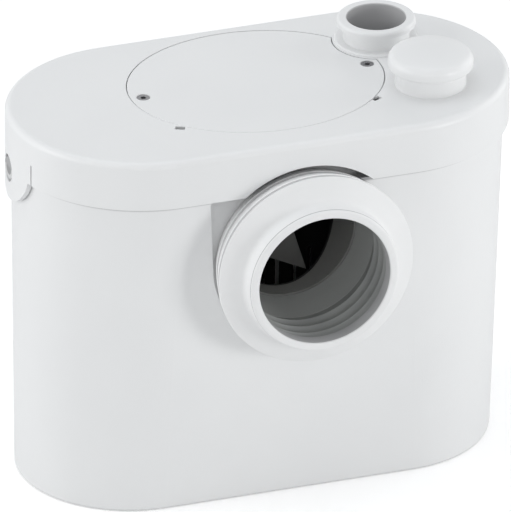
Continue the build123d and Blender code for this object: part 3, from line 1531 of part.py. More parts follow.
# Pressure bell: open at the bottom, cup for the diaphragm on top
with BuildPart() as pressure_bell:
    bell_section = Plane((bell_x, bell_y, 0), x_dir=(1, 0, 0), z_dir=(0, -1, 0))
    bell_points = [
        (bell_radius - bell_wall, bell_bottom),
        (bell_radius, bell_bottom),
        (bell_radius, cup_bottom),
        (cup_radius, cup_bottom),
        (cup_radius, cup_top),
        (cup_bore_radius, cup_top),
        (cup_bore_radius, cup_bottom + cup_floor),
        (bell_radius - bell_wall, cup_bottom + cup_floor),
    ]
    revolve(outline(bell_section, bell_points), axis=Axis((bell_x, bell_y, 0), (0, 0, 1)))
pressure_bell.part.label = "pressure_bell"
export_step(pressure_bell.part, "parts/pressure_bell.step")

with BuildPart() as diaphragm:
    with BuildSketch(upright(bell_x, bell_y, cup_top)):
        Circle(cup_radius)
    extrude(amount=diaphragm_thickness)
    with BuildSketch(upright(bell_x, bell_y, cup_top + diaphragm_thickness)):
        Circle(diaphragm_dome_radius)
    extrude(amount=diaphragm_dome_height)
diaphragm.part.label = "diaphragm"
export_step(diaphragm.part, "parts/diaphragm.step")

with BuildPart() as sensor_cap:
    with BuildSketch(upright(bell_x, bell_y, sensor_cap_bottom)):
        Circle(cup_radius)
    extrude(amount=deck_bottom - sensor_cap_bottom)
    with BuildSketch(upright(bell_x, bell_y, sensor_cap_bottom)):
        Circle(sensor_cap_bore_radius)
    extrude(amount=sensor_cap_bore_height, mode=Mode.SUBTRACT)
    with BuildSketch(upright(bell_x, bell_y, sensor_cap_bottom)):
        Circle(plunger_radius + running_gap)
    extrude(amount=deck_bottom - sensor_cap_bottom, mode=Mode.SUBTRACT)
sensor_cap.part.label = "sensor_cap"
export_step(sensor_cap.part, "parts/sensor_cap.step")

# Plunger with a foot on the diaphragm and a round tip under the lever
with BuildPart() as switch_plunger:
    foot_bottom = cup_top + diaphragm_thickness + diaphragm_dome_height + seat_gap
    with BuildSketch(upright(bell_x, bell_y, foot_bottom)):
        Circle(plunger_foot_radius)
    extrude(amount=plunger_foot_height)
    with BuildSketch(upright(bell_x, bell_y, foot_bottom)):
        Circle(plunger_radius)
    extrude(amount=plunger_tip - foot_bottom)
    fillet(switch_plunger.edges().group_by(Axis.Z)[-1], plunger_radius - seat_gap)
switch_plunger.part.label = "switch_plunger"
export_step(switch_plunger.part, "parts/switch_plunger.step")

# Microswitch with two cheeks for the lever's pin
with BuildPart() as microswitch:
    with BuildSketch(upright(bell_x, bell_y, switch_bottom)):
        Rectangle(switch_length, switch_width)
    extrude(amount=switch_height)
    for side in (-1, 1):
        cheek_y = bell_y + side * (switch_width - switch_cheek) / 2
        with BuildSketch(upright(lever_pivot_x, cheek_y, lever_pivot_z - 2 * lever_knuckle_radius)):
            Rectangle(switch_cheek_length, switch_cheek)
        extrude(amount=switch_bottom - lever_pivot_z + 2 * lever_knuckle_radius)
    with BuildSketch(Plane.XZ.offset(-bell_y)):
        with Locations((lever_pivot_x, lever_pivot_z)):
            Circle(lever_pin_radius)
    extrude(amount=switch_width / 2, both=True)
    button_travel = plunger_travel * button_arm / lever_arm
    with BuildSketch(upright(lever_pivot_x + button_arm, bell_y, switch_bottom)):
        Circle(button_radius + running_gap)
    extrude(amount=button_depth + button_travel + seat_gap, mode=Mode.SUBTRACT)
microswitch.part.label = "microswitch"
export_step(microswitch.part, "parts/microswitch.step")

# Button of the switch, pressed from below by the lever
with BuildPart() as switch_button:
    button_bottom = lever_bottom + lever_thickness + button_gap
    with BuildSketch(upright(lever_pivot_x + button_arm, bell_y, button_bottom)):
        Circle(button_radius)
    extrude(amount=switch_bottom + button_depth - button_bottom)
    fillet(switch_button.edges().group_by(Axis.Z)[0], button_radius / 2)
switch_button.part.label = "switch_button"
export_step(switch_button.part, "parts/switch_button.step")

with BuildPart() as switch_lever:
    with BuildSketch(upright(lever_pivot_x, bell_y, lever_bottom)):
        with Locations((lever_length / 2, 0)):
            Rectangle(lever_length, lever_width)
    extrude(amount=lever_thickness)
    with BuildSketch(Plane.XZ.offset(-bell_y)):
        with Locations((lever_pivot_x, lever_pivot_z)):
            Circle(lever_knuckle_radius)
    extrude(amount=lever_width / 2, both=True)
    with BuildSketch(Plane.XZ.offset(-bell_y)):
        with Locations((lever_pivot_x, lever_pivot_z)):
            Circle(lever_pin_radius + running_gap)
    extrude(amount=lever_width, both=True, mode=Mode.SUBTRACT)
switch_lever.part.label = "switch_lever"
export_step(switch_lever.part, "parts/switch_lever.step")

# Angle bracket that holds the switch over the plunger
with BuildPart() as switch_bracket:
    bracket_face = bell_y + switch_width / 2 + seat_gap
    with BuildSketch(Plane.XY.offset(deck_top)):
        with Locations((bell_x, bracket_face + switch_bracket_thickness / 2)):
            Rectangle(switch_length, switch_bracket_thickness)
    extrude(amount=switch_bottom + switch_height - deck_top)
    with BuildSketch(Plane.XY.offset(deck_top)):
        with Locations((bell_x, bracket_face + switch_bracket_foot / 2)):
            Rectangle(switch_length, switch_bracket_foot)
    extrude(amount=switch_bracket_thickness)
switch_bracket.part.label = "switch_bracket"
export_step(switch_bracket.part, "parts/switch_bracket.step")

# Motor capacitor lying on its saddle
with BuildPart() as capacitor:
    with BuildSketch(Plane.XZ.offset(-capacitor_front)):
        with Locations((capacitor_x, capacitor_z)):
            Circle(capacitor_radius)
    extrude(amount=-capacitor_length)
    fillet(capacitor.edges().filter_by(GeomType.CIRCLE), capacitor_round)
capacitor.part.label = "capacitor"
export_step(capacitor.part, "parts/capacitor.step")

with BuildPart() as capacitor_saddle:
    with BuildSketch(upright(capacitor_x, capacitor_front + capacitor_length / 2, deck_top)):
        Rectangle(saddle_width, saddle_length)
    extrude(amount=saddle_top - deck_top)
    with BuildSketch(Plane.XZ.offset(-capacitor_front)):
        with Locations((capacitor_x, capacitor_z)):
            Circle(capacitor_radius + seat_gap)
    extrude(amount=-capacitor_length, mode=Mode.SUBTRACT)
capacitor_saddle.part.label = "capacitor_saddle"
export_step(capacitor_saddle.part, "parts/capacitor_saddle.step")

# Terminal block with a screw well and a wire hole for each way
with BuildPart() as terminal_block:
    way_pitch = terminal_length / terminal_ways
    with BuildSketch(upright(terminal_x, terminal_y, deck_top)):
        Rectangle(terminal_width, terminal_length)
    extrude(amount=terminal_height)
    with BuildSketch(upright(terminal_x, terminal_y, deck_top + terminal_height - terminal_screw_depth)):
        with GridLocations(way_pitch, way_pitch, 1, terminal_ways):
            Circle(terminal_screw_radius)
    extrude(amount=terminal_screw_depth, mode=Mode.SUBTRACT)
    way_z = deck_top + terminal_height * terminal_way_rise_share
    with BuildSketch(Plane((terminal_x, terminal_y, way_z), x_dir=(0, 1, 0), z_dir=(1, 0, 0))):
        with GridLocations(way_pitch, way_pitch, terminal_ways, 1):
            Circle(terminal_wire_radius)
    extrude(amount=terminal_width, both=True, mode=Mode.SUBTRACT)
terminal_block.part.label = "terminal_block"
export_step(terminal_block.part, "parts/terminal_block.step")

# Cable gland: threaded body with a hexagon, rubber sleeve and dome nut
with BuildPart() as gland_body:
    with BuildSketch(Plane.XZ.offset(-lid_back - gland_hex_height)):
        with Locations((gland_x, gland_z)):
            RegularPolygon(gland_hex_radius, 6)
    extrude(amount=gland_hex_height)
    with BuildSketch(Plane.XZ.offset(-lid_back)):
        with Locations((gland_x, gland_z)):
            Circle(gland_thread_radius)
    extrude(amount=gland_thread_length)
    with BuildSketch(Plane.XZ.offset(-lid_back - gland_hex_height)):
        with Locations((gland_x, gland_z)):
            Circle(gland_bore_radius)
    extrude(amount=gland_hex_height + gland_thread_length, mode=Mode.SUBTRACT)
gland_body.part.label = "gland_body"
export_step(gland_body.part, "parts/gland_body.step")

with BuildPart() as gland_nut:
    nut_back = lid_back + gland_hex_height + press_gap
    gland_section = Plane((gland_x, 0, gland_z), x_dir=(1, 0, 0), z_dir=(0, 0, 1))
    nut_points = [
        (gland_bore_radius, nut_back),
        (gland_nut_radius, nut_back),
        (gland_nut_radius, nut_back + gland_nut_height / 2),
        (gland_nut_tip_radius, nut_back + gland_nut_height),
        (gland_bore_radius, nut_back + gland_nut_height),
    ]
    revolve(outline(gland_section, nut_points), axis=Axis((gland_x, 0, gland_z), (0, 1, 0)))
gland_nut.part.label = "gland_nut"
export_step(gland_nut.part, "parts/gland_nut.step")

with BuildPart() as gland_seal:
    with BuildSketch(Plane.XZ.offset(-nut_back - gland_nut_height + gland_seal_wall)):
        with Locations((gland_x, gland_z)):
            Circle(gland_seal_bore + gland_seal_wall)
            Circle(gland_seal_bore, mode=Mode.SUBTRACT)
    extrude(amount=gland_nut_height + gland_hex_height)
gland_seal.part.label = "gland_seal"
export_step(gland_seal.part, "parts/gland_seal.step")
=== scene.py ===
import json
import math

import bmesh
import bpy
from mathutils import Matrix, Vector


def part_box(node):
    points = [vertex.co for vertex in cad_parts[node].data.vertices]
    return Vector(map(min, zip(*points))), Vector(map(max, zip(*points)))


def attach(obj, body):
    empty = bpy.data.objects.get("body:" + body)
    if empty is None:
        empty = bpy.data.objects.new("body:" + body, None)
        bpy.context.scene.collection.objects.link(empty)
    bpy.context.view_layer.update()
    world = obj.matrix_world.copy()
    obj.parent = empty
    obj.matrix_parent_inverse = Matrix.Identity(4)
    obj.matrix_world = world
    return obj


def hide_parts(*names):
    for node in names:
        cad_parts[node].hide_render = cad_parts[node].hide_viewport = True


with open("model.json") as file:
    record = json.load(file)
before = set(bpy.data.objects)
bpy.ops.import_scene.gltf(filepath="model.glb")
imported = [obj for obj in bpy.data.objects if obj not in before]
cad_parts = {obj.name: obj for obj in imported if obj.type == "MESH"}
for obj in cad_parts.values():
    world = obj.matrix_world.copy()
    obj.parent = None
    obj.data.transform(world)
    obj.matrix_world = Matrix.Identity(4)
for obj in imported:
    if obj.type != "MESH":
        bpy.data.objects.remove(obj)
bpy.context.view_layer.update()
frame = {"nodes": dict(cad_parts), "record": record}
scene = bpy.context.scene
MM = 0.001


def place_camera():
    """Long lens at the photograph's angle, made first so that everything else is judged through it."""
    turn, lift, roll = 0.3307367, 0.4770649, 0.0043205
    stand = (-3.8019, -11.0702, 6.1904)
    sensor_width, focal_pixels, picture_width, far_limit = 36, 20000, 512, 60
    back = Vector((-math.sin(turn) * math.cos(lift), -math.cos(turn) * math.cos(lift), math.sin(lift)))
    level = Vector((math.cos(turn), -math.sin(turn), 0.0))
    rise = back.cross(level)
    right = math.cos(roll) * level + math.sin(roll) * rise
    up = -math.sin(roll) * level + math.cos(roll) * rise
    camera = bpy.data.objects.new("photo_camera", bpy.data.cameras.new("photo_camera"))
    scene.collection.objects.link(camera)
    camera.data.lens = sensor_width * focal_pixels / picture_width
    camera.data.sensor_width = sensor_width
    camera.data.clip_end = far_limit
    pose = Matrix((right, up, back)).transposed().to_4x4()
    pose.translation = Vector(stand)
    camera.matrix_world = pose
    scene.camera = camera


place_camera()


# Materials

BORE_EDGE = 0.0003      # metres over which the painted shade inside a bore fades out
SEAM_FADE = 0.0015      # metres below the lid's edge over which the wall's shade sets in
SEAM_TONE = (0.36, 0.36, 0.365)
PLASTIC_SHEEN_SPREAD, RUBBER_SHEEN_SPREAD, METAL_SHEEN_SPREAD = 0.05, 0.08, 0.07
PLASTIC_GRAIN, RUBBER_GRAIN, METAL_GRAIN = 0.00006, 0.00008, 0.00002
FINE_LINES, NO_LINES = (900.0, 900.0, 60.0), (400.0, 400.0, 400.0)
MOTOR_AXIS = (5.8 * MM, 19.0 * MM)


def start_material(name):
    """A material with one shader; gives back its nodes, its links and the piece's own coordinates."""
    material = bpy.data.materials.new(name)
    material.use_nodes = True
    nodes = material.node_tree.nodes
    nodes.clear()
    output = nodes.new("ShaderNodeOutputMaterial")
    shader = nodes.new("ShaderNodeBsdfPrincipled")
    material.node_tree.links.new(shader.outputs["BSDF"], output.inputs["Surface"])
    place = nodes.new("ShaderNodeTexCoord")
    return material, nodes, material.node_tree.links, shader, place.outputs["Object"]


def noise_between(nodes, links, place, scale, low, high, detail=2.0):
    """A number that wanders between two values over the surface."""
    noise = nodes.new("ShaderNodeTexNoise")
    noise.inputs["Scale"].default_value = scale
    noise.inputs["Detail"].default_value = detail
    links.new(place, noise.inputs["Vector"])
    spread = nodes.new("ShaderNodeMapRange")
    spread.inputs["From Min"].default_value = 0.3
    spread.inputs["From Max"].default_value = 0.7
    spread.inputs["To Min"].default_value = low
    spread.inputs["To Max"].default_value = high
    links.new(noise.outputs["Fac"], spread.inputs["Value"])
    return spread.outputs["Result"]


def uneven_sheen(nodes, links, shader, place, scale, roughness, spread):
    """Roughness that wanders a little to both sides of its value."""
    sheen = noise_between(nodes, links, place, scale, roughness - spread, roughness + spread)
    links.new(sheen, shader.inputs["Roughness"])


def colour_between(nodes, links, factor, first, second):
    mix = nodes.new("ShaderNodeMix")
    mix.data_type = "RGBA"
    mix.inputs["A"].default_value = (*first, 1)
    mix.inputs["B"].default_value = (*second, 1)
    links.new(factor, mix.inputs["Factor"])
    return mix.outputs["Result"]


def grain_bump(nodes, links, shader, place, scale, height):
    """Fine surface grain of a real height in metres."""
    noise = nodes.new("ShaderNodeTexNoise")
    noise.inputs["Scale"].default_value = scale
    noise.inputs["Detail"].default_value = 3
    links.new(place, noise.inputs["Vector"])
    bump = nodes.new("ShaderNodeBump")
    bump.inputs["Strength"].default_value = 1.0
    bump.inputs["Distance"].default_value = height
    links.new(noise.outputs["Fac"], bump.inputs["Height"])
    links.new(bump.outputs["Normal"], shader.inputs["Normal"])


def axis_distance(nodes, links, place, centre, along):
    """Distance from a straight axis through a place, in metres."""
    away = nodes.new("ShaderNodeVectorMath")
    away.operation = "SUBTRACT"
    away.inputs[1].default_value = centre
    links.new(place, away.inputs[0])
    flat = nodes.new("ShaderNodeVectorMath")
    flat.operation = "MULTIPLY"
    flat.inputs[1].default_value = [1.0 - abs(part) for part in along]
    links.new(away.outputs[0], flat.inputs[0])
    length = nodes.new("ShaderNodeVectorMath")
    length.operation = "LENGTH"
    links.new(flat.outputs[0], length.inputs[0])
    return length.outputs["Value"]


def step_down(nodes, links, value, full, none):
    """One at the first value and below it, nought from the second on."""
    ramp = nodes.new("ShaderNodeMapRange")
    ramp.inputs["From Min"].default_value = full
    ramp.inputs["From Max"].default_value = none
    ramp.inputs["To Min"].default_value = 1.0
    ramp.inputs["To Max"].default_value = 0.0
    links.new(value, ramp.inputs["Value"])
    return ramp.outputs["Result"]


def paint_bore_shade(nodes, links, place, surface, centre, along, radius, tone):
    """Painted shade: a darker tone inside a round bore, where little light reaches."""
    away = axis_distance(nodes, links, place, centre, along)
    inside = step_down(nodes, links, away, radius, radius + BORE_EDGE)
    mix = nodes.new("ShaderNodeMix")
    mix.data_type = "RGBA"
    mix.inputs["B"].default_value = (*tone, 1)
    links.new(surface, mix.inputs["A"])
    links.new(inside, mix.inputs["Factor"])
    return mix.outputs["Result"]


def shade_above(nodes, links, place, surface, height, tone):
    """A darker tone from a height upwards, where the lid's skirt shades the wall."""
    split = nodes.new("ShaderNodeSeparateXYZ")
    links.new(place, split.inputs[0])
    below = step_down(nodes, links, split.outputs["Z"], height - SEAM_FADE, height)
    mix = nodes.new("ShaderNodeMix")
    mix.data_type = "RGBA"
    mix.inputs["A"].default_value = (*tone, 1)
    links.new(surface, mix.inputs["B"])
    links.new(below, mix.inputs["Factor"])
    return mix.outputs["Result"]


def moulded_plastic(name, colour, shade, roughness, bores=(), shaded_from=None):
    """Injection-moulded plastic: two close tones, uneven sheen and a fine grain, with optional painted
    shade inside bores and from a given height upwards.
    """
    material, nodes, links, shader, place = start_material(name)
    tone = noise_between(nodes, links, place, 9.0, 0.0, 1.0)
    surface = colour_between(nodes, links, tone, colour, shade)
    # Painted shade inside the listed bores, then painted shade from a height upwards
    for bore in bores:
        surface = paint_bore_shade(nodes, links, place, surface, **bore)
    if shaded_from is not None:
        surface = shade_above(nodes, links, place, surface, shaded_from, SEAM_TONE)
    links.new(surface, shader.inputs["Base Color"])
    uneven_sheen(nodes, links, shader, place, 60.0, roughness, PLASTIC_SHEEN_SPREAD)
    shader.inputs["IOR"].default_value = 1.5
    grain_bump(nodes, links, shader, place, 1400.0, PLASTIC_GRAIN)
    return material


def soft_rubber(name, colour, shade, roughness):
    """Moulded rubber: matt, with a powdery bloom and slight waviness."""
    material, nodes, links, shader, place = start_material(name)
    tone = noise_between(nodes, links, place, 25.0, 0.0, 1.0, detail=5.0)
    links.new(colour_between(nodes, links, tone, colour, shade), shader.inputs["Base Color"])
    uneven_sheen(nodes, links, shader, place, 90.0, roughness, RUBBER_SHEEN_SPREAD)
    shader.inputs["Sheen Weight"].default_value = 0.08
    grain_bump(nodes, links, shader, place, 500.0, RUBBER_GRAIN)
    return material


def turned_metal(name, colour, shade, roughness, scratch=FINE_LINES):
    """Machined metal with fine lines along its upright axis."""
    material, nodes, links, shader, place = start_material(name)
    stretch = nodes.new("ShaderNodeMapping")
    stretch.inputs["Scale"].default_value = scratch
    links.new(place, stretch.inputs["Vector"])
    lines = noise_between(nodes, links, stretch.outputs["Vector"], 1.0, 0.0, 1.0, detail=4.0)
    links.new(colour_between(nodes, links, lines, colour, shade), shader.inputs["Base Color"])
    uneven_sheen(nodes, links, shader, place, 70.0, roughness, METAL_SHEEN_SPREAD)
    shader.inputs["Metallic"].default_value = 1.0
    grain_bump(nodes, links, shader, stretch.outputs["Vector"], 1.5, METAL_GRAIN)
    return material


def stacked_sheets(name, colour, shade):
    """Electrical steel: thin sheets seen edge on as level lines."""
    material, nodes, links, shader, place = start_material(name)
    wave = nodes.new("ShaderNodeTexWave")
    wave.bands_direction = "Z"
    wave.inputs["Scale"].default_value = 320.0
    wave.inputs["Distortion"].default_value = 0.4
    links.new(place, wave.inputs["Vector"])
    links.new(colour_between(nodes, links, wave.outputs["Fac"], colour, shade), shader.inputs["Base Color"])
    shader.inputs["Metallic"].default_value = 0.9
    shader.inputs["Roughness"].default_value = 0.5
    return material


def wound_wire(name, colour, shade):
    """Lacquered copper wire, wound in rings round the motor's axis."""
    material, nodes, links, shader, place = start_material(name)
    wave = nodes.new("ShaderNodeTexWave")
    wave.wave_type = "RINGS"
    wave.rings_direction = "Z"
    wave.inputs["Scale"].default_value = 300.0
    wave.inputs["Distortion"].default_value = 1.5
    wave.inputs["Detail"].default_value = 1.0
    centre = nodes.new("ShaderNodeMapping")
    centre.inputs["Location"].default_value = (-MOTOR_AXIS[0], -MOTOR_AXIS[1], 0)
    links.new(place, centre.inputs["Vector"])
    links.new(centre.outputs["Vector"], wave.inputs["Vector"])
    links.new(colour_between(nodes, links, wave.outputs["Fac"], colour, shade), shader.inputs["Base Color"])
    shader.inputs["Metallic"].default_value = 0.7
    shader.inputs["Roughness"].default_value = 0.35
    return material


def open_foam(name, colour, shade):
    """Filter foam: small dark cells between paler walls."""
    material, nodes, links, shader, place = start_material(name)
    cells = nodes.new("ShaderNodeTexVoronoi")
    cells.inputs["Scale"].default_value = 900.0
    links.new(place, cells.inputs["Vector"])
    walls = colour_between(nodes, links, cells.outputs["Distance"], colour, shade)
    links.new(walls, shader.inputs["Base Color"])
    shader.inputs["Roughness"].default_value = 0.95
    return material


WHITE, WHITE_SHADE, WHITE_ROUGHNESS = (0.83, 0.835, 0.835), (0.805, 0.81, 0.812), 0.36
finishes = {
    "white_plastic": moulded_plastic("white_plastic", WHITE, WHITE_SHADE, WHITE_ROUGHNESS),
    "white_rubber": soft_rubber("white_rubber", (0.83, 0.833, 0.833), (0.80, 0.803, 0.803), 0.55),
    "grey_plastic": moulded_plastic("grey_plastic", (0.03, 0.03, 0.031), (0.02, 0.02, 0.021), 0.5),
    "black_plastic": moulded_plastic("black_plastic", (0.03, 0.03, 0.032), (0.02, 0.02, 0.022), 0.45),
    "dark_rubber": soft_rubber("dark_rubber", (0.03, 0.03, 0.032), (0.045, 0.045, 0.047), 0.7),
    "screw_steel": turned_metal("screw_steel", (0.30, 0.30, 0.31), (0.22, 0.22, 0.23), 0.42),
    "stainless_steel": turned_metal("stainless_steel", (0.60, 0.61, 0.62), (0.50, 0.51, 0.52), 0.3),
    "lamination_steel": stacked_sheets("lamination_steel", (0.34, 0.34, 0.35), (0.22, 0.22, 0.23)),
    "cast_aluminium": turned_metal(
        "cast_aluminium", (0.66, 0.67, 0.69), (0.56, 0.57, 0.59), 0.48, NO_LINES,
    ),
    "copper_wire": wound_wire("copper_wire", (0.60, 0.26, 0.12), (0.40, 0.15, 0.06)),
    "brass_metal": turned_metal("brass_metal", (0.70, 0.52, 0.24), (0.60, 0.43, 0.18), 0.32),
    "filter_foam": open_foam("filter_foam", (0.02, 0.02, 0.022), (0.07, 0.07, 0.072)),
}

# Axes of the round features, and the height of the seam between tank and lid
SIDEWAYS, FORWARD, UPRIGHT = (1.0, 0.0, 0.0), (0.0, 1.0, 0.0), (0.0, 0.0, 1.0)
INLET = (5.8 * MM, 0.0, 180.1 * MM)
SOCKET = (95.9 * MM, 39.6 * MM, 0.0)
PEG = (0.0, 8.5 * MM, 229.0 * MM)
SEAM = 230.7 * MM


by_node = {
    # Painted shade inside the inlet's bore, and painted shade on the wall below the lid's edge
    "inlet_neck": moulded_plastic(
        "inlet_plastic", WHITE, WHITE_SHADE, WHITE_ROUGHNESS,
        bores=[dict(centre=INLET, along=FORWARD, radius=54.6 * MM, tone=(0.52, 0.53, 0.52))],
        shaded_from=SEAM,
    ),
    # Painted shade inside the discharge socket's bore
    "discharge_socket": moulded_plastic(
        "socket_plastic", WHITE, WHITE_SHADE, WHITE_ROUGHNESS,
        bores=[dict(centre=SOCKET, along=UPRIGHT, radius=19.8 * MM, tone=(0.56, 0.56, 0.565))],
    ),
    "tank": moulded_plastic(
        "tank_plastic", WHITE, WHITE_SHADE, WHITE_ROUGHNESS,
        # Painted shade in the windows round the side pegs: a grey ring round a darker core
        bores=[
            dict(centre=PEG, along=SIDEWAYS, radius=7.7 * MM, tone=(0.62, 0.62, 0.62)),
            dict(centre=PEG, along=SIDEWAYS, radius=4.6 * MM, tone=(0.26, 0.26, 0.262)),
        ],
        shaded_from=SEAM,
    ),
    "shaft_guard": moulded_plastic("guard_plastic", (0.46, 0.46, 0.45), (0.42, 0.42, 0.41), 0.5),
    "basket_collar": moulded_plastic("collar_plastic", (0.34, 0.34, 0.33), (0.30, 0.30, 0.29), 0.5),
}
slot_of = {entry["node"]: entry["material_slot"] for entry in frame["record"]["subparts"]}
for node, piece in frame["nodes"].items():
    piece.data.materials.clear()
    piece.data.materials.append(by_node.get(node, finishes[slot_of[node]]))


# Pieces of the scene's own. Lengths are in mm and turned into metres where a piece is made.

WELD = 0.001 * MM           # corners closer than this are one corner
CREASE = math.radians(38)   # edges sharper than this stay sharp


def finish_piece(mesh, name, body, materials):
    """Turns a bmesh into a piece that rides on a body, with smooth faces and creases kept."""
    bmesh.ops.remove_doubles(mesh, verts=mesh.verts, dist=WELD)
    bmesh.ops.recalc_face_normals(mesh, faces=mesh.faces)
    data = bpy.data.meshes.new(name)
    mesh.to_mesh(data)
    mesh.free()
    data.shade_smooth()
    data.set_sharp_from_angle(angle=CREASE)
    piece = bpy.data.objects.new(name, data)
    scene.collection.objects.link(piece)
    for material in materials:
        data.materials.append(material)
    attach(piece, body)
    return piece


def turn_section(section, centre, along, outward, steps):
    """A closed outline of distances out and along, turned a full circle about an axis."""
    mesh = bmesh.new()
    centre, along, outward = Vector(centre), Vector(along), Vector(outward)
    corners = [mesh.verts.new(centre + outward * out * MM + along * reach * MM) for out, reach in section]
    runs = [mesh.edges.new((corner, corners[index - 1])) for index, corner in enumerate(corners)]
    bmesh.ops.spin(
        mesh, geom=corners + runs, cent=centre, axis=along, dvec=(0, 0, 0),
        angle=math.tau, steps=steps, use_merge=True,
    )
    bmesh.ops.remove_doubles(mesh, verts=mesh.verts, dist=WELD)
    return mesh


def round_rings(mesh, centre, along, out, reach, amount, segments):
    """Rounds the ring edge that runs at one distance out and along."""
    centre, along = Vector(centre), Vector(along)
    near = 0.05 * MM

    def on_ring(vertex):
        away = vertex.co - centre
        height = away.dot(along)
        radius = (away - along * height).length
        return abs(height - reach * MM) < near and abs(radius - out * MM) < near

    rings = [edge for edge in mesh.edges if all(on_ring(vertex) for vertex in edge.verts)]
    bmesh.ops.bevel(
        mesh, geom=rings, offset=amount * MM, segments=segments, profile=0.5,
        affect="EDGES", material=-1, clamp_overlap=True,
    )


def pan_sleeve():
    """Rubber sleeve: tapered skirt with three ridges, sloping face, collar, smooth lip and ribbed bore."""
    toward_pan, turning_steps, round_segments = (0, -1, 0), 144, 4
    rim, collar_base, flange, rear = 120.8, 110.4, 102.8, 78.0
    flange_radius, rear_radius, collar_radius, foot_radius = 67.3, 61.0, 51.2, 51.3
    lip_radius, bore_radius, tube_radius, mouth_radius = 45.2, 48.2, 53.0, 49.9
    spigot_radius, spigot_front, shoulder = 58.3, 100.5, 72.9
    lip_end, rib_height, rib_count, rib_margin = 111.3, 1.7, 3, 0.3
    groove_depth, groove_width, groove_shares = 1.8, 3.2, (0.15, 0.61)
    collar_round, foot_round, edge_round, rear_round, groove_round, rib_round = 1.8, 3.0, 0.9, 0.8, 0.5, 0.9
    section = [(lip_radius, rim), (collar_radius, rim), (foot_radius, collar_base), (flange_radius, flange)]
    rounds = [
        (collar_radius, rim, collar_round), (foot_radius, collar_base, foot_round),
        (lip_radius, rim, edge_round), (flange_radius, flange, edge_round),
    ]
    grooves = [flange - share * (flange - rear) for share in groove_shares]
    for middle in grooves:
        radius = flange_radius - (flange - middle) / (flange - rear) * (flange_radius - rear_radius)
        section += [
            (radius, middle + groove_width / 2),
            (radius - groove_depth, middle + groove_width / 6),
            (radius - groove_depth, middle - groove_width / 6),
            (radius, middle - groove_width / 2),
        ]
        rounds += [
            (radius, middle + groove_width / 2, groove_round),
            (radius, middle - groove_width / 2, groove_round),
        ]
    section.append((rear_radius, rear))
    rounds.append((rear_radius, rear, rear_round))
    section += [(spigot_radius, rear), (spigot_radius, spigot_front)]
    section += [(tube_radius, spigot_front), (tube_radius, shoulder), (mouth_radius, shoulder)]
    pitch = (lip_end - shoulder + rib_margin) / (rib_count + 1)
    for rib in range(rib_count, 0, -1):
        middle = lip_end - rib * pitch
        section += [
            (bore_radius, middle - pitch / 4),
            (bore_radius - rib_height, middle),
            (bore_radius, middle + pitch / 4),
        ]
        rounds.append((bore_radius - rib_height, middle, rib_round))
    section += [(bore_radius, lip_end), (lip_radius, lip_end)]
    mesh = turn_section(section, INLET, toward_pan, UPRIGHT, turning_steps)
    for out, reach, amount in rounds:
        round_rings(mesh, INLET, toward_pan, out, reach, amount, round_segments)

    # Which faces get painted shade on the lip, in the bore and on the grooves' floors, and painted light on
    # the ridges
    outer, lip_painted_shade, bore_painted_shade, groove_painted_shade, ridge_painted_light = range(5)
    bore_reach, rim_band, lip_margin, skirt_margin, groove_margin = 3, 1.4, 0.1, 1, 0.3
    for face in mesh.faces:
        middle = face.calc_center_median() - Vector(INLET)
        out, reach = math.hypot(middle.x, middle.z) / MM, -middle.y / MM
        face.material_index = outer
        if out < bore_radius + bore_reach and reach < rim - rim_band:
            face.material_index = lip_painted_shade if reach > lip_end - lip_margin else bore_painted_shade
        elif out > spigot_radius + skirt_margin and reach < flange - skirt_margin:
            in_groove = any(abs(reach - groove) < groove_width / 2 - groove_margin for groove in grooves)
            face.material_index = groove_painted_shade if in_groove else ridge_painted_light
    # Grey copies of the white rubber as painted shade on the lip, in the bore and in the grooves, and a
    # whiter copy as painted light on the ridges
    materials = [
        finishes["white_rubber"],
        soft_rubber("sleeve_lip_painted_shade", (0.50, 0.50, 0.505), (0.47, 0.47, 0.475), 0.6),
        soft_rubber("sleeve_bore_painted_shade", (0.47, 0.48, 0.47), (0.38, 0.39, 0.385), 0.6),
        soft_rubber("sleeve_groove_painted_shade", (0.66, 0.66, 0.665), (0.62, 0.62, 0.625), 0.6),
        soft_rubber("sleeve_ridge_painted_light", (0.95, 0.952, 0.952), (0.92, 0.922, 0.922), 0.5),
    ]
    piece = finish_piece(mesh, "sleeve_rubber", "housing", materials)
    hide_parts("pan_sleeve")


def vent_cap():
    """Push-in cap: low dome rounded into the side, and a plug below the brim."""
    centre, turning_steps = (108.9 * MM, -32.0 * MM, 0.0), 120
    brim, under, side_top, dome, plug, plug_wall, plug_end = 28.2, 280.9, 287.6, 292.3, 20.2, 2.6, 265.9
    skirt_end, skirt_inside = 279.2, 24.5
    crown_shares, crown_fall = (0.0, 0.2, 0.4, 0.58, 0.74, 0.87), 2.2
    shoulder = side_top - 0.6
    rise = dome - side_top
    crown = [(brim * share, side_top + rise * (1 - share ** crown_fall)) for share in crown_shares]
    section = crown + [
        (brim, shoulder), (brim, skirt_end), (skirt_inside, skirt_end), (skirt_inside, under),
        (plug, under), (plug, plug_end),
        (plug - plug_wall, plug_end), (plug - plug_wall, under), (0.0, under),
    ]
    rounds = [(brim, shoulder, 3.4, 8), (brim, skirt_end, 1.4, 4), (plug, plug_end, 0.8, 3)]
    mesh = turn_section(section, centre, UPRIGHT, SIDEWAYS, turning_steps)
    for out, reach, amount, segments in rounds:
        round_rings(mesh, centre, UPRIGHT, out, reach, amount, segments)
    piece = finish_piece(mesh, "cap_shell", "cap", [finishes["white_plastic"]])
    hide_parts("vent_cap")


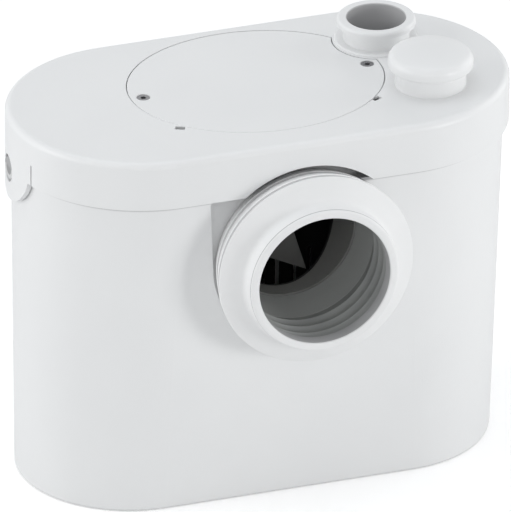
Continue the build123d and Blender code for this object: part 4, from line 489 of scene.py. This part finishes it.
def pry_slot_painted_shade(name, side):
    """Dark plate on the floor of the slot beside the cover, where a screwdriver lifts it: painted shade
    that makes the slot look deep.
    """
    across, back, turn = 67.9, -42.1, 24.0
    length, width, thickness, edge_round = 6.0, 3.8, 0.9, 0.25
    slot_depth, plate_middle = 2.6, 0.5
    mesh = bmesh.new()
    bmesh.ops.create_cube(mesh, size=1.0)
    bmesh.ops.scale(mesh, vec=(length * MM, width * MM, thickness * MM), verts=mesh.verts)
    bmesh.ops.bevel(
        mesh, geom=mesh.edges, offset=edge_round * MM, segments=2, profile=0.5,
        affect="EDGES", material=-1,
    )
    turned = Matrix.Rotation(math.radians(side * turn), 3, "Z")
    bmesh.ops.rotate(mesh, cent=(0, 0, 0), matrix=turned, verts=mesh.verts)
    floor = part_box("lid")[1][2] - slot_depth * MM
    place = (side * across * MM, back * MM, floor + plate_middle * MM)
    bmesh.ops.translate(mesh, vec=place, verts=mesh.verts)
    finish_piece(mesh, name, "housing", [finishes["black_plastic"]])


pan_sleeve()
vent_cap()
# Dark plates in the two pry slots: painted shade
pry_slot_painted_shade("pry_clip_left", -1)
pry_slot_painted_shade("pry_clip_right", 1)


# Floor, backdrop and light

FLOOR_HALF_WIDTH, FLOOR_GREY, FLOOR_GLOW = 4.0, (0.86, 0.86, 0.86, 1), 0.32
SKY_SEEN, SKY_SEEN_STRENGTH = (1, 1, 1, 1), 1.0
SKY_LIGHT, SKY_LIGHT_STRENGTH = (0.97, 0.985, 1.0, 1), 0.52


def plain_floor():
    """Pale matt sheet that keeps shadows and is seen a little brighter than it is lit."""
    sheet = bmesh.new()
    bmesh.ops.create_grid(sheet, x_segments=1, y_segments=1, size=FLOOR_HALF_WIDTH)
    mesh = bpy.data.meshes.new("floor")
    sheet.to_mesh(mesh)
    sheet.free()
    floor = bpy.data.objects.new("floor", mesh)
    scene.collection.objects.link(floor)
    material = bpy.data.materials.new("pale_floor")
    material.use_nodes = True
    nodes, links = material.node_tree.nodes, material.node_tree.links
    nodes.clear()
    output = nodes.new("ShaderNodeOutputMaterial")
    matt = nodes.new("ShaderNodeBsdfDiffuse")
    matt.inputs["Color"].default_value = FLOOR_GREY
    glow = nodes.new("ShaderNodeEmission")
    path = nodes.new("ShaderNodeLightPath")
    level = nodes.new("ShaderNodeMath")
    level.operation = "MULTIPLY"
    level.inputs[1].default_value = FLOOR_GLOW
    links.new(path.outputs["Is Camera Ray"], level.inputs[0])
    links.new(level.outputs[0], glow.inputs["Strength"])
    both = nodes.new("ShaderNodeAddShader")
    links.new(matt.outputs[0], both.inputs[0])
    links.new(glow.outputs[0], both.inputs[1])
    links.new(both.outputs[0], output.inputs["Surface"])
    mesh.materials.append(material)


def studio_sky():
    """White where it is seen, mirrored or looked through; dimmer where it lights the object."""
    world = bpy.data.worlds.new("studio")
    world.use_nodes = True
    scene.world = world
    nodes, links = world.node_tree.nodes, world.node_tree.links
    nodes.clear()
    output = nodes.new("ShaderNodeOutputWorld")
    seen = nodes.new("ShaderNodeBackground")
    seen.inputs["Color"].default_value = SKY_SEEN
    seen.inputs["Strength"].default_value = SKY_SEEN_STRENGTH
    lit = nodes.new("ShaderNodeBackground")
    lit.inputs["Color"].default_value = SKY_LIGHT
    lit.inputs["Strength"].default_value = SKY_LIGHT_STRENGTH
    path = nodes.new("ShaderNodeLightPath")
    first = nodes.new("ShaderNodeMath")
    first.operation = "MAXIMUM"
    second = nodes.new("ShaderNodeMath")
    second.operation = "MAXIMUM"
    links.new(path.outputs["Is Camera Ray"], first.inputs[0])
    links.new(path.outputs["Is Glossy Ray"], first.inputs[1])
    links.new(first.outputs[0], second.inputs[0])
    links.new(path.outputs["Is Transmission Ray"], second.inputs[1])
    mix = nodes.new("ShaderNodeMixShader")
    links.new(second.outputs[0], mix.inputs["Fac"])
    links.new(lit.outputs[0], mix.inputs[1])
    links.new(seen.outputs[0], mix.inputs[2])
    links.new(mix.outputs[0], output.inputs["Surface"])


def soft_lamp(name, place, target, size, power, colour=(1, 1, 1)):
    """Square area lamp turned towards a target."""
    lamp = bpy.data.objects.new(name, bpy.data.lights.new(name, "AREA"))
    lamp.data.shape = "SQUARE"
    lamp.data.size = size
    lamp.data.energy = power
    lamp.data.color = colour
    scene.collection.objects.link(lamp)
    lamp.location = place
    lamp.rotation_euler = (Vector(target) - Vector(place)).to_track_quat("-Z", "Y").to_euler()


plain_floor()
studio_sky()
soft_lamp("left_softbox", (-2.3, 0.2, 0.8), (-0.1, 0, 0.14), 1.8, 22)
soft_lamp("right_softbox", (2.3, 0.4, 0.8), (0.1, 0, 0.14), 1.8, 11)
soft_lamp("view_softbox", (-0.7, -2.05, 1.25), (0, 0, 0.18), 0.5, 3)
soft_lamp("front_softbox", (1.5, -1.8, 0.35), (0, 0, 0.14), 0.7, 15)
soft_lamp("top_softbox", (-0.2, 0.3, 2.2), (0, 0, 0.2), 1.8, 11, (0.93, 0.965, 1.0))
scene.view_settings.view_transform = "Standard"
